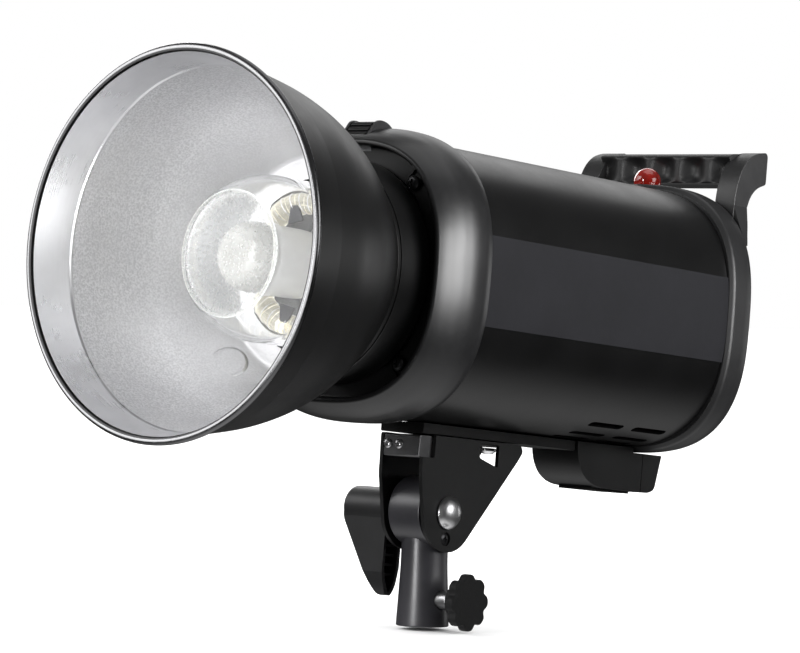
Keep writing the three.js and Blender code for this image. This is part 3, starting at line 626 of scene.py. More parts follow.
def screw_head(radius, height, recess):
    """A domed screw head with a cross recess, its top at y = 0 facing -Y."""
    outline = [(0, 0), (radius * 0.6, 0.1), (radius, height * 0.55, 0.4), (radius, height), (0, height)]
    head = turned(rounded(outline, 0.5, 4, closed=False), 48)
    arm = radius * 0.52
    thin = radius * 0.13
    for cross in (oblong(-arm, arm, -thin, thin), oblong(-thin, thin, -arm, arm)):
        head = cut(head, prism(cross, -1, recess, "Y"))
    return head


def ring_screws():
    for number, (x, z) in enumerate(SCREW_PLACES, 1):
        shank = turned([(0, 1.8), (1.4, 1.8), (1.4, 9), (0, 9)], 24)
        body = moved(together(screw_head(3.3, 2.2, 1.0), shank), Matrix.Translation((x, -26.9, z)))
        piece(f"collar_screw_{number}", body, HEAD, LOOK["black_steel"], "head", [f"ring_screw_{number}"])


def slider():
    """A block with a ridged thumb ramp at its front, between two raised cheeks."""
    back, foot = -7.4, 59.9
    ramp_foot, ramp_top = Vector((-25.8, 62.4)), Vector((-19.6, 70.2))
    top = [(-17, 70.7, 2), (-12.8, 69.9, 4), (back, 66.6, 3), (back, foot, 0.3)]
    outline = rounded([(ramp_foot.x, foot), (*ramp_foot, 0.3), (*ramp_top, 0.6), *top], 0.3, 4)
    core = prism(outline, -7.4, 7.4, "X")
    along = (ramp_top - ramp_foot).normalized()
    out = Vector((-along.y, along.x))
    ridges = []
    for share in (0.16, 0.49, 0.82):
        middle = ramp_foot.lerp(ramp_top, share)
        corners = [middle - along * 0.95 - out * 0.8, middle - along * 0.95 + out * 0.75,
                   middle + along * 0.95 + out * 0.75, middle + along * 0.95 - out * 0.8]
        ridges.append(softened(prism([tuple(c) for c in corners], -6.4, 6.2, "X"), 0.42, 3))
    low, high = ramp_foot + out * 0.95, ramp_top + out * 0.95
    cheek = [(ramp_foot.x, foot, 0.3), (ramp_foot.x, 61.6, 1), (low.x + 0.5, low.y, 1.2), (*high, 1.6),
             (-16.8, 71.2, 3), (-12.4, 70.4, 5), (back, 66.9, 3), (back, foot, 0.5)]
    sides = [softened(prism(rounded(cheek, 1, 5), *sorted((side * 7.2, side * 8.6)), "X"), 0.5, 3)
             for side in (-1, 1)]
    piece("slider_ridged", together(softened(core, 0.2), *ridges), HEAD, LOOK["cover"], "release_slider",
          ["release_slider"])
    # The cheeks are a lighter grey, partly as a painted sheen.
    piece("slider_cheeks", together(*sides), HEAD, LOOK["grey_and_sheen"], "release_slider")


def side_label(side, node_name):
    half, steps = 18.1, 40
    inner, outer = BODY_HALF + 0.15, BODY_HALF + 0.75

    def edge(size, start, end):
        points = []
        for x, z in arc(1, start, end, steps):
            reach = size * square_factor(math.atan2(z, x))
            points.append((side * x * reach, z * reach))
        return points

    outline = edge(outer, -half, half) + edge(inner, half, -half)
    film = softened(prism(outline, 0.9, BODY_END - 0.25, "Y"), 0.18, 2)
    piece(f"{node_name}_film", film, HEAD, LOOK["label"], "head", [node_name])


def rail():
    outline = rounded([(-13.2, -65.1), (-13.2, -70, 0.8), (13.2, -70, 0.8), (13.2, -65.1)], 0.1)
    body = softened(prism(outline, 25, 139.6, "Y"), 0.3)
    piece("rail_moulding", body, HEAD, LOOK["cover"], "head", ["bottom_rail"])


def foot():
    top = -COVER_HALF - 0.4
    nose = [(140.3, -65.1, 0.1), (140.6, -71, 3), (142.8, -77, 4), (147, -82, 5), (153, -85.2, 5),
            (160, -86.7, 6), (193, -87, 0.3), (193, top, 0.1), (185.2, top, 0.1), (185.2, -65.1, 0.1)]
    body = softened(prism(rounded(nose, 1, 6), -14.4, 14.4, "X"), 1.5, 4, sharp=40)
    piece("foot_moulding", body, HEAD, LOOK["cover"], "head", ["foot_housing"])
    cap = [(193.45, -87, 0.4), (200, -86.9, 3), (204.6, -85, 3), (205.6, -81, 2), (208.6, top, 0.8),
           (193.45, top, 0.1)]
    body = softened(prism(rounded(cap, 1, 6), -14.4, 14.4, "X"), 1.2, 4, sharp=40)
    piece("foot_cap_moulding", body, HEAD, LOOK["cover"], "head", ["foot_cap"])
    ribs = [softened(prism(rounded(oblong(-10, 10, y, y + 2.2), 0.8), -88.1, -86.4, "Z"), 0.2)
            for y in [158 + 3.3 * i for i in range(10)]]
    base = prism(rounded(oblong(-10, 10, 158, 190), 2), -87.7, -86.4, "Z")
    piece("foot_pad_ribbed", together(base, *ribs), HEAD, LOOK["rubber"], "head", ["foot_pad"])


# ------------------------------------------------------------------ back of the head
BUTTONS = {"menu_button": -36, "sound_button": -24, "lamp_button": 18, "test_button": 32}
DIAL_PLACE = (-6, 2)
SWITCH_PLACE = (28, -32)
INLET_PLACE = (-22, -34)
JACK_PLACE = (6, -34)


def rear_cover():
    outline = [(COVER_HALF - 2.2, COVER_START, 0.3), (COVER_HALF, COVER_START + 1.9, 1.1),
               (COVER_HALF, 198, 2),
               (COVER_HALF - 0.9, COVER_END, 1.4), (COVER_INSIDE, COVER_END, 0.5),
               (COVER_INSIDE - 0.2, COVER_START, 0.2)]
    body = squared(rounded(outline, 0.5, 5), power=COVER_SQUARENESS)
    piece("rear_cover_moulding", body, HEAD, LOOK["cover"], "head", ["rear_cover"])


def rear_panel():
    front = PANEL_BACK - 3
    reach = COVER_INSIDE - 0.5
    body = squared([(0, front), (reach, front), (reach, PANEL_BACK - 0.4), (reach - 0.4, PANEL_BACK),
                    (0, PANEL_BACK)], power=COVER_SQUARENESS)

    def through(outline):
        return prism(outline, front - 2, PANEL_BACK + 2, "Y")

    def hole(radius, x, z):
        return through(arc(radius, 0, 352.5, 47, (x, z)))

    def window(place, width, height):
        x, z = place
        return through(rounded(oblong(x - width, x + width, z - height, z + height), 1))

    holes = [hole(4.4, x, 2) for x in BUTTONS.values()]
    holes += [hole(3.4, *DIAL_PLACE), hole(3.3, *JACK_PLACE), window(SWITCH_PLACE, 7, 10.5),
              window(INLET_PLACE, 14.4, 11.2)]
    vents = [prism(rounded(oblong(x - 1, x + 1, 42, 53), 0.95), PANEL_BACK - 1.2, PANEL_BACK + 2, "Y")
             for x in range(-32, 33, 4)]
    body = cut(body, together(*holes, *vents))
    piece("rear_panel_moulding", body, HEAD, LOOK["cover"], "head", ["rear_panel"])


def panel_trim():
    """Screws, a display bezel, dial ticks and indicator lamps on the control panel."""
    screws = []
    for x, z in SCREW_PLACES:
        head = moved(screw_head(2.6, 1.2, 0.7), Matrix.Rotation(math.pi, 4, "Z"),
                     Matrix.Translation((x * 1.2, PANEL_BACK + 1.15, z * 1.02)))
        screws.append(head)
    piece("panel_screws", together(*screws), HEAD, LOOK["black_steel"], "head")
    frame_outline = rounded(oblong(-27, 27, 14, 40), 3)
    opening = prism(rounded(oblong(-24.2, 24.2, 16.8, 37.2), 1), PANEL_BACK - 1, PANEL_BACK + 3, "Y")
    bezel = softened(cut(prism(frame_outline, PANEL_BACK + 0.05, PANEL_BACK + 1.5, "Y"), opening), 0.4)
    piece("display_bezel", bezel, HEAD, LOOK["collar"], "head")
    pane = prism(rounded(oblong(-24, 24, 17, 37), 1), PANEL_BACK + 0.35, PANEL_BACK + 1.1, "Y")
    piece("display_pane", softened(pane, 0.25), HEAD, LOOK["screen"], "head", ["display_window"])
    ticks = []
    for i in range(21):
        angle = math.radians(225 - i * 13.5)
        length = 2.4 if i % 5 == 0 else 1.4
        tick = prism(oblong(12.2, 12.2 + length, -0.25, 0.25), PANEL_BACK + 0.02, PANEL_BACK + 0.12, "Y")
        turn = Matrix.Translation((DIAL_PLACE[0], 0, DIAL_PLACE[1])) @ Matrix.Rotation(-angle, 4, "Y")
        ticks.append(moved(tick, turn))
    piece("dial_ticks", together(*ticks), HEAD, LOOK["print"], "head")
    bead = rounded([(0, 1.0), (0.9, 0.9), (1.3, 0.2), (1.3, -0.4), (0, -0.4)], 0.3, 3, closed=False)
    lamps = [moved(turned(bead, 32), Matrix.Translation((x, PANEL_BACK + 0.2, 9.5))) for x in (-36, -24, 18)]
    piece("indicator_lamps", together(*lamps), HEAD, LOOK["red"], "head")


def buttons():
    cap = [(0, 190.5), (4, 190.5), (4, 200.1, 0.5), (3.3, 200.7, 0.6), (2, 200.35, 1), (0, 200.2)]
    for name, x in BUTTONS.items():
        body = moved(turned(rounded(cap, 0.1, 4, closed=False), 48), Matrix.Translation((x, 0, 2)))
        look, finish = ("red", "red_lens") if name == "test_button" else ("knob", "knob")
        piece(f"{name}_cap", body, HEAD, LOOK[look], name, [name])


def dial():
    place = Matrix.Translation((DIAL_PLACE[0], 0, DIAL_PLACE[1]))
    points = []
    for i in range(288):
        angle = 2 * math.pi * i / 288
        reach = 9.7 + 0.3 * math.tanh(3 * math.cos(24 * angle))
        points.append((DIAL_PLACE[0] + reach * math.cos(angle), DIAL_PLACE[1] + reach * math.sin(angle)))
    grip = softened(prism(points, PANEL_BACK + 0.6, 208.4, "Y"), 0.5, 2, sharp=60)
    top = [(0, 208.3), (8.6, 208.3), (8.6, 209.3, 0.7), (5, 209.5, 1), (0, 208.9)]
    crown = moved(turned(rounded(top, 0.2, 4, closed=False), 96), place)
    mark = prism(rounded(oblong(-6.5, -5.5, 6.4, 9.4), 0.4), 209.2, 209.5, "Y")
    stem = moved(turned([(0, 189), (3, 189), (3, 200), (0, 200)], 32), place)
    piece("dial_knurled", together(grip, crown, mark, stem), HEAD, LOOK["knob"], "control_dial",
          ["control_dial"])


def rocker():
    x, z = SWITCH_PLACE
    outline = [(193.5, z - 7.5), (200.6, z - 8.6, 0.8), (199.5, z, 6), (202.2, z + 8.6, 0.8),
               (193.5, z + 7.5)]
    body = softened(prism(rounded(outline, 0.3, 6), x - 6, x + 6, "X"), 0.4, 3, sharp=35)
    piece("rocker_cap", body, HEAD, LOOK["red"], "power_switch", ["power_switch"])


def inlet():
    x, z = INLET_PLACE

    def outline(width, height, corner):
        wide = corner * 2.4
        return rounded([(x - width, z - height, corner), (x + width, z - height, corner),
                        (x + width, z + height, wide), (x - width, z + height, wide)], corner, 6)

    well = prism(outline(14, 10.8, 1), 182, 199, "Y")
    flange = softened(prism(outline(16.5, 13, 1.4), PANEL_BACK + 0.35, 200.6, "Y"), 0.5, 3, sharp=40)
    hollow = prism(outline(12, 9, 1.2), 185, 203, "Y")
    body = cut(joined(well, flange), hollow)
    piece("inlet_moulding", body, HEAD, LOOK["knob"], "head", ["mains_inlet"])
    pins = [softened(prism(oblong(x + dx - 1, x + dx + 1, z + dz - 2, z + dz + 2), 184, 197, "Y"), 0.4)
            for dx, dz in ((-7, 0), (7, 0), (0, 4.5))]
    piece("inlet_pins", together(*pins), HEAD, LOOK["steel"], "head")


def jack():
    seat = PANEL_BACK + 0.4
    profile = [(1.8, 190), (3, 190), (3, seat), (5.4, seat, 0.3), (5.4, 200.2, 0.5), (1.8, 200.2, 0.4)]
    body = moved(turned(rounded(profile, 0.1, 4), 6), Matrix.Translation((JACK_PLACE[0], 0, JACK_PLACE[1])))
    piece("sync_jack_nut", body, HEAD, LOOK["steel"], "head", ["sync_jack"])


def photocell():
    radius, top = 6.9, 76.5
    base = COVER_HALF + 0.5
    start = math.degrees(math.asin((base - top + radius) / radius))
    dome = [(0, base), *arc(radius, start, 90, 16, (0, top - radius))]
    piece("photocell_lens", turned_z(dome, 96, (0, 197.5)), HEAD, LOOK["red"], "head", ["photocell_dome"])


def handle():
    base, foot = COVER_END + 0.35, 38.6
    back = [(205.1, foot, 0.6), (207.4, 43, 5), (211.8, 50, 10), (214.2, 57, 10), (217, 64.6, 8),
            (222, 69.4, 8)]
    side = [(base, foot, 0.5), (base, 62, 20), (205.4, 71.5, 9), (209.5, 79.5, 9), (215, 84.6, 8),
            (222, 87.2, 8), (227.8, 88, 1.2), (229.2, 86.4, 1.2), (229.2, 72, 1.4), *reversed(back)]
    behind = [*[(y - 0.3, z, r) for y, z, r in back], (240, 69.4, 0.1), (240, 30, 0.1), (204.8, 30, 0.1)]
    posts = []
    for sign in (-1, 1):
        post = prism(rounded(side, 2, 6), *sorted((sign * POST_IN, sign * POST_OUT)), "X")
        outline = [(49, foot, 0.3), (59.8, foot, 0.5), (58.5, 41.5, 5), (54, 50, 12), (POST_OUT, 59, 8),
                   (49, 59, 0.1)]
        flare = prism(rounded([(sign * x, z, r) for x, z, r in outline], 1, 6), base + 0.2, 218, "Y")
        flare = cut(flare, prism(rounded(behind, 0.1, 6), -62, 62, "X"))
        posts += [softened(post, 1.5, 4, sharp=45), softened(flare, 0.6, 3, sharp=45)]
    piece("handle_moulding", together(finger_bar(), *posts), HEAD, LOOK["grip"], "head", ["handle"])


def finger_bar():
    """The bar between the posts, with soft upright finger grooves moulded into its front."""
    front, low, high = 209.6, 70.4, 83.9
    pitch, depth, half_width, rows, step = 18.5, 3.6, 9.2, 26, 0.45
    outline = [(front, low, 1.4), (212, 69.8, 1.4), (227.6, 69.8, 1.6), (229.2, 72, 1.6), (229.2, 86.2, 1.6),
               (227.6, 87.5, 1.6), (212.6, 85.6, 1.8), (front, high, 1.8)]
    around = [p for p in rounded(outline, 1.5, 4) if p[0] > front + 0.05]
    section = around + [(front, high - 1.2 - i * (high - low - 2.2) / rows) for i in range(rows + 1)]
    middle, half_height = (low + high) / 2, (high - low) / 2 - 0.3
    count = round(2 * (POST_IN + 2) / step)
    rings = []
    for i in range(count + 1):
        x = -POST_IN - 2 + i * step
        across = abs(x - pitch * round(x / pitch)) / half_width
        trough = math.cos(min(across, 1) * math.pi / 2) ** 2
        ring = []
        for y, z in section:
            share = min(abs(z - middle) / half_height, 1)
            hollow = depth * trough * max(0, 1 - share ** 3)
            ring.append((x, y + hollow if y < front + 0.3 else y, z))
        rings.append(ring)
    ends = [sum((Vector(p) for p in ring), Vector()) / len(ring) for ring in (rings[0], rings[-1])]
    return skinned([[ends[0]], *rings, [ends[1]]])


# ------------------------------------------------------------------ reflector
BOWL_OUTSIDE = [(NECK_RADIUS + 0.3, -47.8, 0.6), (58.5, -56, 5), (66.6, -68, 8), (73.6, -82, 10),
                (79, -99, 12), (82.6, -120, 0.5), (86.6, -138.6, 0.6)]
BOWL_WALL = 1.0
CREASE_AT = -120.3


def bowl():
    bead = arc(1.95, 185, -135, 22, (86.65, -140.5))
    inside = [(r - BOWL_WALL, y - 0.25, *rest) for r, y, *rest in reversed(BOWL_OUTSIDE[1:-1])]
    crease = [(81.85, CREASE_AT - 0.9, 0.3), (81.0, CREASE_AT, 0.35), (81.3, CREASE_AT + 0.9, 0.3)]
    inside = crease + inside[1:]
    back = [(NECK_RADIUS - 1.2, -49, 2), (40.2, -48.9, 0.2), (40.2, -47.8, 0.2)]
    bead = [(r, y, 0) for r, y in reversed(bead)]
    body = turned(rounded([*BOWL_OUTSIDE, *bead, *inside, *back], 0.5, 8), 192)

    def finish(centre, normal):
        radial = math.hypot(centre.x, centre.z)
        outward = (normal.x * centre.x + normal.z * centre.z) / max(radial, 1e-6)
        if centre.y < -138.4:
            return 4 if outward > 0.3 else 3
        if outward > 0 or centre.y > -48.5:
            return 0
        return 2 if centre.y < CREASE_AT + 0.8 else 1

    looks = [LOOK[name] for name in ("bowl_out", "bowl_in", "bowl_band", "bead", "bead_paint")]
    piece("bowl_spun", paint(body, finish), HEAD, looks, "reflector", ["reflector_bowl"], smooth=24)


def umbrella_boss():
    """The faint round mark for an umbrella shaft, low on the bowl's inside."""
    centre = Vector((-36.2, -59.0, -46.5))
    profile = [(0, 0.35), (6.8, 0.35, 2), (8.0, 0.6, 1), (8.6, 0.5, 1), (9.6, -0.2), (9.6, -0.9), (0, -0.9)]
    dish = turned(rounded(profile, 0.4, 6, closed=False), 64)
    inward = Vector((-centre.x, -55, -centre.z)).normalized()
    turn = Vector((0, 1, 0)).rotation_difference(inward).to_matrix().to_4x4()
    piece("umbrella_boss", moved(dish, Matrix.Translation(centre) @ turn), HEAD, LOOK["bowl_in"], "reflector",
          smooth=60)


def bayonet_neck():
    web = -25.4
    outline = [(NECK_RADIUS, -47.45, 0.5), (NECK_RADIUS, web, 0.9), (41.8, web, 0.2), (41.8, -16.3, 0.3),
               (38.6, -16.3, 0.3), (38.6, web - 2, 0.3), (49.6, web - 2, 0.3), (49.6, -47.45, 0.2)]
    rim = turned(rounded(outline, 0.3, 4), 160)
    slot = arc_bar(41.9, 46.2, 56, 124, web - 3, web + 0.4)
    rim = cut(rim, slot)
    lugs = [softened(arc_bar(40.6, 45.5, angle - 12.5, angle + 12.5, -18.35, -16.3), 0.3)
            for angle in (30, 150, 270)]
    hem = turned(rounded(oblong(NECK_RADIUS - 0.2, NECK_RADIUS + 0.55, -45.4, -44.2), 0.3, 3), 160)
    piece("bayonet_neck", together(rim, *lugs, hem), HEAD, LOOK["bowl_out"], "reflector",
          ["reflector_ring"])


# ------------------------------------------------------------------ lamps
def dome():
    def sphere(radius, reach):
        return (math.sqrt(radius ** 2 - reach ** 2), DOME_CENTRE - reach, 0.0)

    inner = DOME_RADIUS - DOME_WALL
    reaches = [23.2 * i / 14 for i in range(15)]
    outside = [(DOME_RADIUS - 0.6, -11.4, 0.5), *[sphere(DOME_RADIUS, r) for r in reaches],
               (28.2, DOME_FRONT, 1.6)]
    inside = [(25.8, DOME_FRONT + DOME_WALL, 1.2), *[sphere(inner, r * 0.95) for r in reversed(reaches)],
              (inner - 0.6, -11.4, 0.5)]
    profile = rounded([*outside, (0, DOME_FRONT)], 0.4, 5, closed=False)
    profile += rounded([(0, DOME_FRONT + DOME_WALL), *inside], 0.4, 5, closed=False)
    rings = turned(profile, 160, hollow=True)
    front = paint(rings, lambda centre, normal: 1 if centre.y < DOME_FRONT + 0.2 and normal.y < -0.95 else 0)
    made = piece("dome_blown", front, HEAD, [LOOK["glass"], LOOK["glass_hazy"]], "head", ["glass_dome"],
                 smooth=60)
    made.visible_shadow = False
    rim = turned(arc(0.85, 0, 337.5, 15, (28.0, DOME_FRONT + 0.75)), 128, hollow=True)
    ring = piece("dome_ground_rim", rim, HEAD, LOOK["ground_glass"], "head", smooth=60)
    ring.visible_shadow = False


def modelling_lamp():
    outline = [(0, -99.4), (8, -99.1, 4), (13.4, -96.6, 5), (LAMP_RADIUS, -91, 5), (LAMP_RADIUS, -56, 6),
               (14.6, -47, 5), (11.8, -41.4, 1), (0, -41.4)]
    body = turned(rounded(outline, 1, 8, closed=False), 96)
    piece("lamp_glass", body, HEAD, LOOK["frosted"], "head", ["modelling_lamp"])
    thread = []
    for i in range(97):
        thread.append((12.0 + 0.7 * math.cos(i / 96 * 12 * math.pi), -41 + i / 96 * 18))
    cap = turned([(0, -41), *thread, (12.4, -21), (7, -17.6), (0, -17.6)], 64)
    piece("lamp_cap_threaded", cap, HEAD, LOOK["brass"], "head", ["lamp_cap"])
    cup = rounded([(13.2, -37), (16.6, -37, 0.8), (16.6, -11.4, 0.5), (0, -11.4), (0, -17.2), (7.4, -17.2),
                   (13.2, -20.6)], 0.3, 4)
    piece("lamp_holder_ceramic", turned(cup, 64, hollow=True), HEAD, LOOK["ceramic"], "head",
          ["lamp_holder"])


FLASH_LEGS = [(side * FLASH_RING * math.sin(0.42), -FLASH_RING * math.cos(0.42)) for side in (-1, 1)]


def flash_tube():
    def ring_point(angle, radius=FLASH_RING, y=FLASH_AT):
        return (radius * math.cos(angle), y, radius * math.sin(angle))

    ring = tube_along([ring_point(2 * math.pi * i / 128) for i in range(129)], FLASH_TUBE, 24)
    leg = rounded([(0, FLASH_AT), (3, FLASH_AT), (3, -24), (0, -24)], 0.5, 4, closed=False)
    legs = [moved(turned(leg, 32), Matrix.Translation((x, 0, z))) for x, z in FLASH_LEGS]
    made = piece("flash_tube_quartz", joined(ring, *legs), HEAD, LOOK["quartz"], "head", ["flash_tube"],
                 smooth=60)
    made.visible_shadow = False
    turns, steps = 34, 16
    wire = []
    for i in range(turns * steps + 1):
        along = 2 * math.pi * i / (turns * steps)
        twist = 2 * math.pi * i / steps
        off = (FLASH_TUBE + 0.25) * math.cos(twist)
        wire.append(ring_point(along, FLASH_RING + off, FLASH_AT + (FLASH_TUBE + 0.25) * math.sin(twist)))
    piece("trigger_wire", tube_along(wire, 0.22, 6), HEAD, LOOK["chrome"], "head")
    clips = []
    for angle in (12, 100, 168, 258, 330):
        clip = prism(rounded([(-4.6, -3), (4.6, -3), (2.2, 5.6), (-2.2, 5.6)], 1), -0.7, 0.7, "Y")
        clips.append(moved(softened(clip, 0.25), Matrix.Rotation(math.pi / 2, 4, "Y"),
                           Matrix.Translation((FLASH_RING - FLASH_TUBE - 1.6, 0, 0)),
                           Matrix.Rotation(math.radians(-angle), 4, "Y"),
                           Matrix.Translation((0, FLASH_AT - FLASH_TUBE + 1.2, 0))))
    piece("tube_clips", together(*clips), HEAD, LOOK["black_steel"], "head")


def flash_posts():
    for number, (x, z) in enumerate(FLASH_LEGS, 1):
        outline = [(3.4, -34), (5, -34, 0.6), (5, -11.4), (0, -11.4), (0, -23.6), (3.4, -23.6)]
        body = moved(turned(rounded(outline, 0.3, 4), 48, hollow=True), Matrix.Translation((x, 0, z)))
        piece(f"flash_socket_{number}", body, HEAD, LOOK["ceramic"], "head", [f"flash_post_{number}"])


def lamp_plate():
    outline = [(0, -11), (40.2, -11), (41.4, -10.2, 0.6), (41.4, -8, 0.3), (0, -8)]
    plate = turned(rounded(outline, 0.2, 3, closed=False), 128)
    ears = block((-57, -11, -8), (57, -8, 8), 0.3, 1)
    studs = [turned([(0, -18.35), (3, -18.35), (3, -10.5), (0, -10.5)], 32) for _ in range(2)]
    studs = [moved(stud, Matrix.Translation((x, 0, 0))) for stud, x in zip(studs, (-52, 52))]
    body = together(joined(plate, ears), *studs)
    piece("lamp_plate_bright", body, HEAD, LOOK["white_plate"], "head", ["lamp_plate"])


# ------------------------------------------------------------------ tilt bracket
def bracket():
    nose = arc(18.4, -158, -40, 28, (48.2, -106.2))
    outline = rounded([(25.7, -70.4, 1.6), (26.2, -90, 3), *nose, (96.8, -77.6, 2.5), (99.6, -73.6, 2.6),
                       (97.6, -70.4, 2.0)], 0.0, 5)
    window = rounded([(67.4, -71.6), (81.3, -71.6), (81.3, -82.4), (67.4, -78.6)], 1.1, 4)

    def cheek(x0, x1):
        hole = prism(arc(4.3, 0, 350, 35, (PIVOT_BACK, -PIVOT_DROP)), x0 - 1, x1 + 1, "X")
        return cut(prism(outline, x0, x1, "X"), prism(window, x0 - 1, x1 + 1, "X"), hole)

    notch = rounded([(20, -60), (20, -81), (34.4, -81), (34.4, -60)], 1.4, 4)
    notch = prism(notch, CHEEK_IN - 1, CHEEK_OUT + 1, "X")
    web = prism(rounded(oblong(36, 96, -72.4, -70.4), 0.2), -12.4, 12.4, "X")
    stop_hole = prism(arc(3.3, 0, 350, 35, (47.2, -118.3)), CHEEK_OUT - 1.0, CHEEK_OUT + 1, "X")
    body = joined(cut(cheek(CHEEK_IN, CHEEK_OUT), notch, stop_hole), cheek(-CHEEK_OUT, -CHEEK_IN), web)
    # The bevels, faces turned partway from the cheeks, take the lighter edge finish: wear and a painted
    # highlight.
    body = paint(softened(body, 0.45, 2, sharp=35), lambda centre, normal: int(0.25 < abs(normal.x) < 0.97))
    piece("bracket_pressed", body, HEAD, [LOOK["powder"], LOOK["powder_edge_wear_and_highlight"]], "head", ["tilt_bracket"])
    screw = moved(screw_head(2.7, 1.3, 0.9), Matrix.Rotation(math.pi / 2, 4, "Z"),
                  Matrix.Translation((CHEEK_OUT - 0.1, 47.2, -118.3)))
    piece("stop_screw", screw, HEAD, LOOK["black_steel"], "head")


def cross_block():
    body = block((-11, 25.6, -81.4), (11, 34.8, -70.8), 0.5, 1.2)
    screws = [moved(screw_head(2.3, 1.3, 0.9), Matrix.Translation((x, 24.4, -75.6))) for x in (-8.4, -1.6)]
    piece("cross_block_cast", body, HEAD, LOOK["aluminium_cast"], "head", ["cross_block"])
    piece("cross_block_screws", together(*screws), HEAD, LOOK["chrome"], "head")


def bracket_bolts():
    for name, y in (("rail_bolt_front", 55), ("rail_bolt_rear", 89)):
        head = moved(screw_head(4, 3.0, 1.3), Matrix.Rotation(math.radians(90), 4, "X"),
                     Matrix.Translation((0, y, -76)))
        piece(f"{name}_head", head, HEAD, LOOK["chrome"], "head", [name])
    outline = [(0, 18.8), (3.4, 18.4, 2), (6.2, 16.9, 2), (7.8, 14.6, 1.0), (7.8, 13.75, 0.2),
               (3.9, 13.75, 0.1), (3.9, -29, 0.5), (0, -29)]
    dome_outline = rounded(outline, 0.3, 8, closed=False)
    body = turned_x(dome_outline, 96, (PIVOT_BACK, -PIVOT_DROP))
    piece("pivot_bolt_domed", body, HEAD, LOOK["chrome"], "head", ["pivot_bolt"])


def lever():
    outline = [(4.3, -16), (9.5, -16, 0.4), (10, -17, 0.4), (10, -42.8, 1.2), (8.8, -44.2, 1.0),
               (0, -44.2), (0, -30), (4.3, -30)]
    hub = turned_x(rounded(outline, 0.3, 5), 96, (PIVOT_BACK, -PIVOT_DROP))
    front, back, wall = 38.2, 50.4, 1.7
    outline = [(-43.8, -106, 0.2), (-43.8, -111.5, 4), (-22.6, -146.6, 2), (-20.4, -147.2, 1),
               (-17.6, -147.2, 0.8), (-16.7, -144, 4), (-16.6, -106, 0.2)]
    below = -152
    before_tip = [(front - 1, -132), (front, -136, 3), (39.6, -142.5, 5), (42.9, -148, 1), (front - 1, below)]
    behind_tip = [(back + 1, -130), (back, -134, 4), (48.8, -142, 5), (46.2, -148, 1), (back + 1, below)]
    tips = [prism(rounded(corner, 0.2, 6), -50, -10, "X") for corner in (before_tip, behind_tip)]
    arm = cut(prism(rounded(outline, 0.5, 6), front, back, "Y"), *tips)
    hollow = [(front + wall, -118), (front + wall, -135, 3), (41.4, -141.4, 3), (44.5, -146.2, 1.6),
              (47.2, -141, 3), (back - wall, -133, 3), (back - wall, -118)]
    beside = prism([(-60, -100), (-37.6, -112), (-37.6, -119), (-21.6, -146), (-21.6, -160), (-60, -160)],
                   front, back, "Y")
    pocket = cut(prism(rounded(hollow, 0.8, 5), -45, -12, "X"), beside)
    arm = cut(softened(arm, 0.7, 3, sharp=40), pocket)
    core = turned_x([(0, -15), (9.2, -15), (9.2, -30), (0, -30)], 64, (PIVOT_BACK, -PIVOT_DROP))
    ribs = []
    for i in range(4):
        z = -124 - i * 4.6
        ribs.append(block((-34 + i * 2.8, front + wall - 0.3, z), (-18.8, back - wall + 0.3, z + 1.1), 0.15))
    body = joined(hub, cut(arm, core))
    piece("lever_moulding", together(body, *ribs), HEAD, LOOK["lever"], "tilt_lever", ["tilt_lever"])


# ------------------------------------------------------------------ stand socket
def stand_socket():
    outline = [(0, 0), (12.5, 0, 0.7), (12.45, 2, 2), (11.05, 30, 6), (11.05, 46), (0, 46)]
    tube = turned_z(rounded(outline, 0.3, 4, closed=False), 128)
    barrel_outline = rounded([(0, -9.6), (16.3, -9.6, 0.7), (16.3, 9.6, 0.7), (0, 9.6)], 0.5, 4, closed=False)
    barrel = turned_x(barrel_outline, 128, (0, PIVOT_HEIGHT))
    slabs = [prism(oblong(-20, 20, PIVOT_HEIGHT - 16.3, PIVOT_HEIGHT), x0, x1, "X")
             for x0, x1 in ((-13, -9.6), (9.6, 13))]
    bore = turned_z([(0, -1), (8.6, -1), (8.0, 0.6), (8.0, 35), (0, 35)], 96)
    bolt_hole = turned_x([(0, -20), (4.3, -20), (4.3, 20), (0, 20)], 48, (0, PIVOT_HEIGHT))
    clamp_hole = turned_x([(0, 4), (4.7, 4), (4.7, 20), (0, 20)], 48, (0, CLAMP_HEIGHT))
    body = cut(joined(cut(tube, *slabs), barrel), bore, bolt_hole, clamp_hole)
    piece("socket_casting", body, STAND, LOOK["casting"], "stand", ["stand_socket"], smooth=28)


def clamp_collar():
    outline = rounded([(3.3, 8.6), (4.3, 8.6, 0.2), (4.3, 17, 0.5), (3.3, 17)], 0.2, 4)
    piece("clamp_bush_turned", turned_x(outline, 64, (0, CLAMP_HEIGHT)), STAND, LOOK["steel"], "stand",
          ["clamp_bush"])


def clamp_knob():
    lobes, points = 8, 240
    star = []
    for i in range(points):
        angle = 2 * math.pi * i / points
        reach = 12.6 + 1.05 * math.cos(lobes * angle) - 0.25 * math.cos(2 * lobes * angle)
        star.append((reach * math.cos(angle), CLAMP_HEIGHT + reach * math.sin(angle)))
    crown = softened(prism(star, 24.2, 29.2, "X"), 0.9, 3, sharp=60)
    outline = [(0, 19.6), (7.8, 19.6, 0.8), (8.6, 21, 1), (9.2, 26), (0, 26)]
    skirt = turned_x(rounded(outline, 0.3, 4, closed=False), 96, (0, CLAMP_HEIGHT))
    bore = turned_x([(0, 18), (3.3, 18), (3.3, 26.8), (0, 26.8)], 48, (0, CLAMP_HEIGHT))
    piece("knob_star", cut(joined(crown, skirt), bore), STAND, LOOK["knob"], "clamp_knob", ["clamp_knob"],
          smooth=30)


def finish_kept_nodes():
    for look, names in KEPT_NODES.items():
        for name in names:
            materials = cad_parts[name].data.materials
            materials.clear()
            materials.append(KEPT[look])


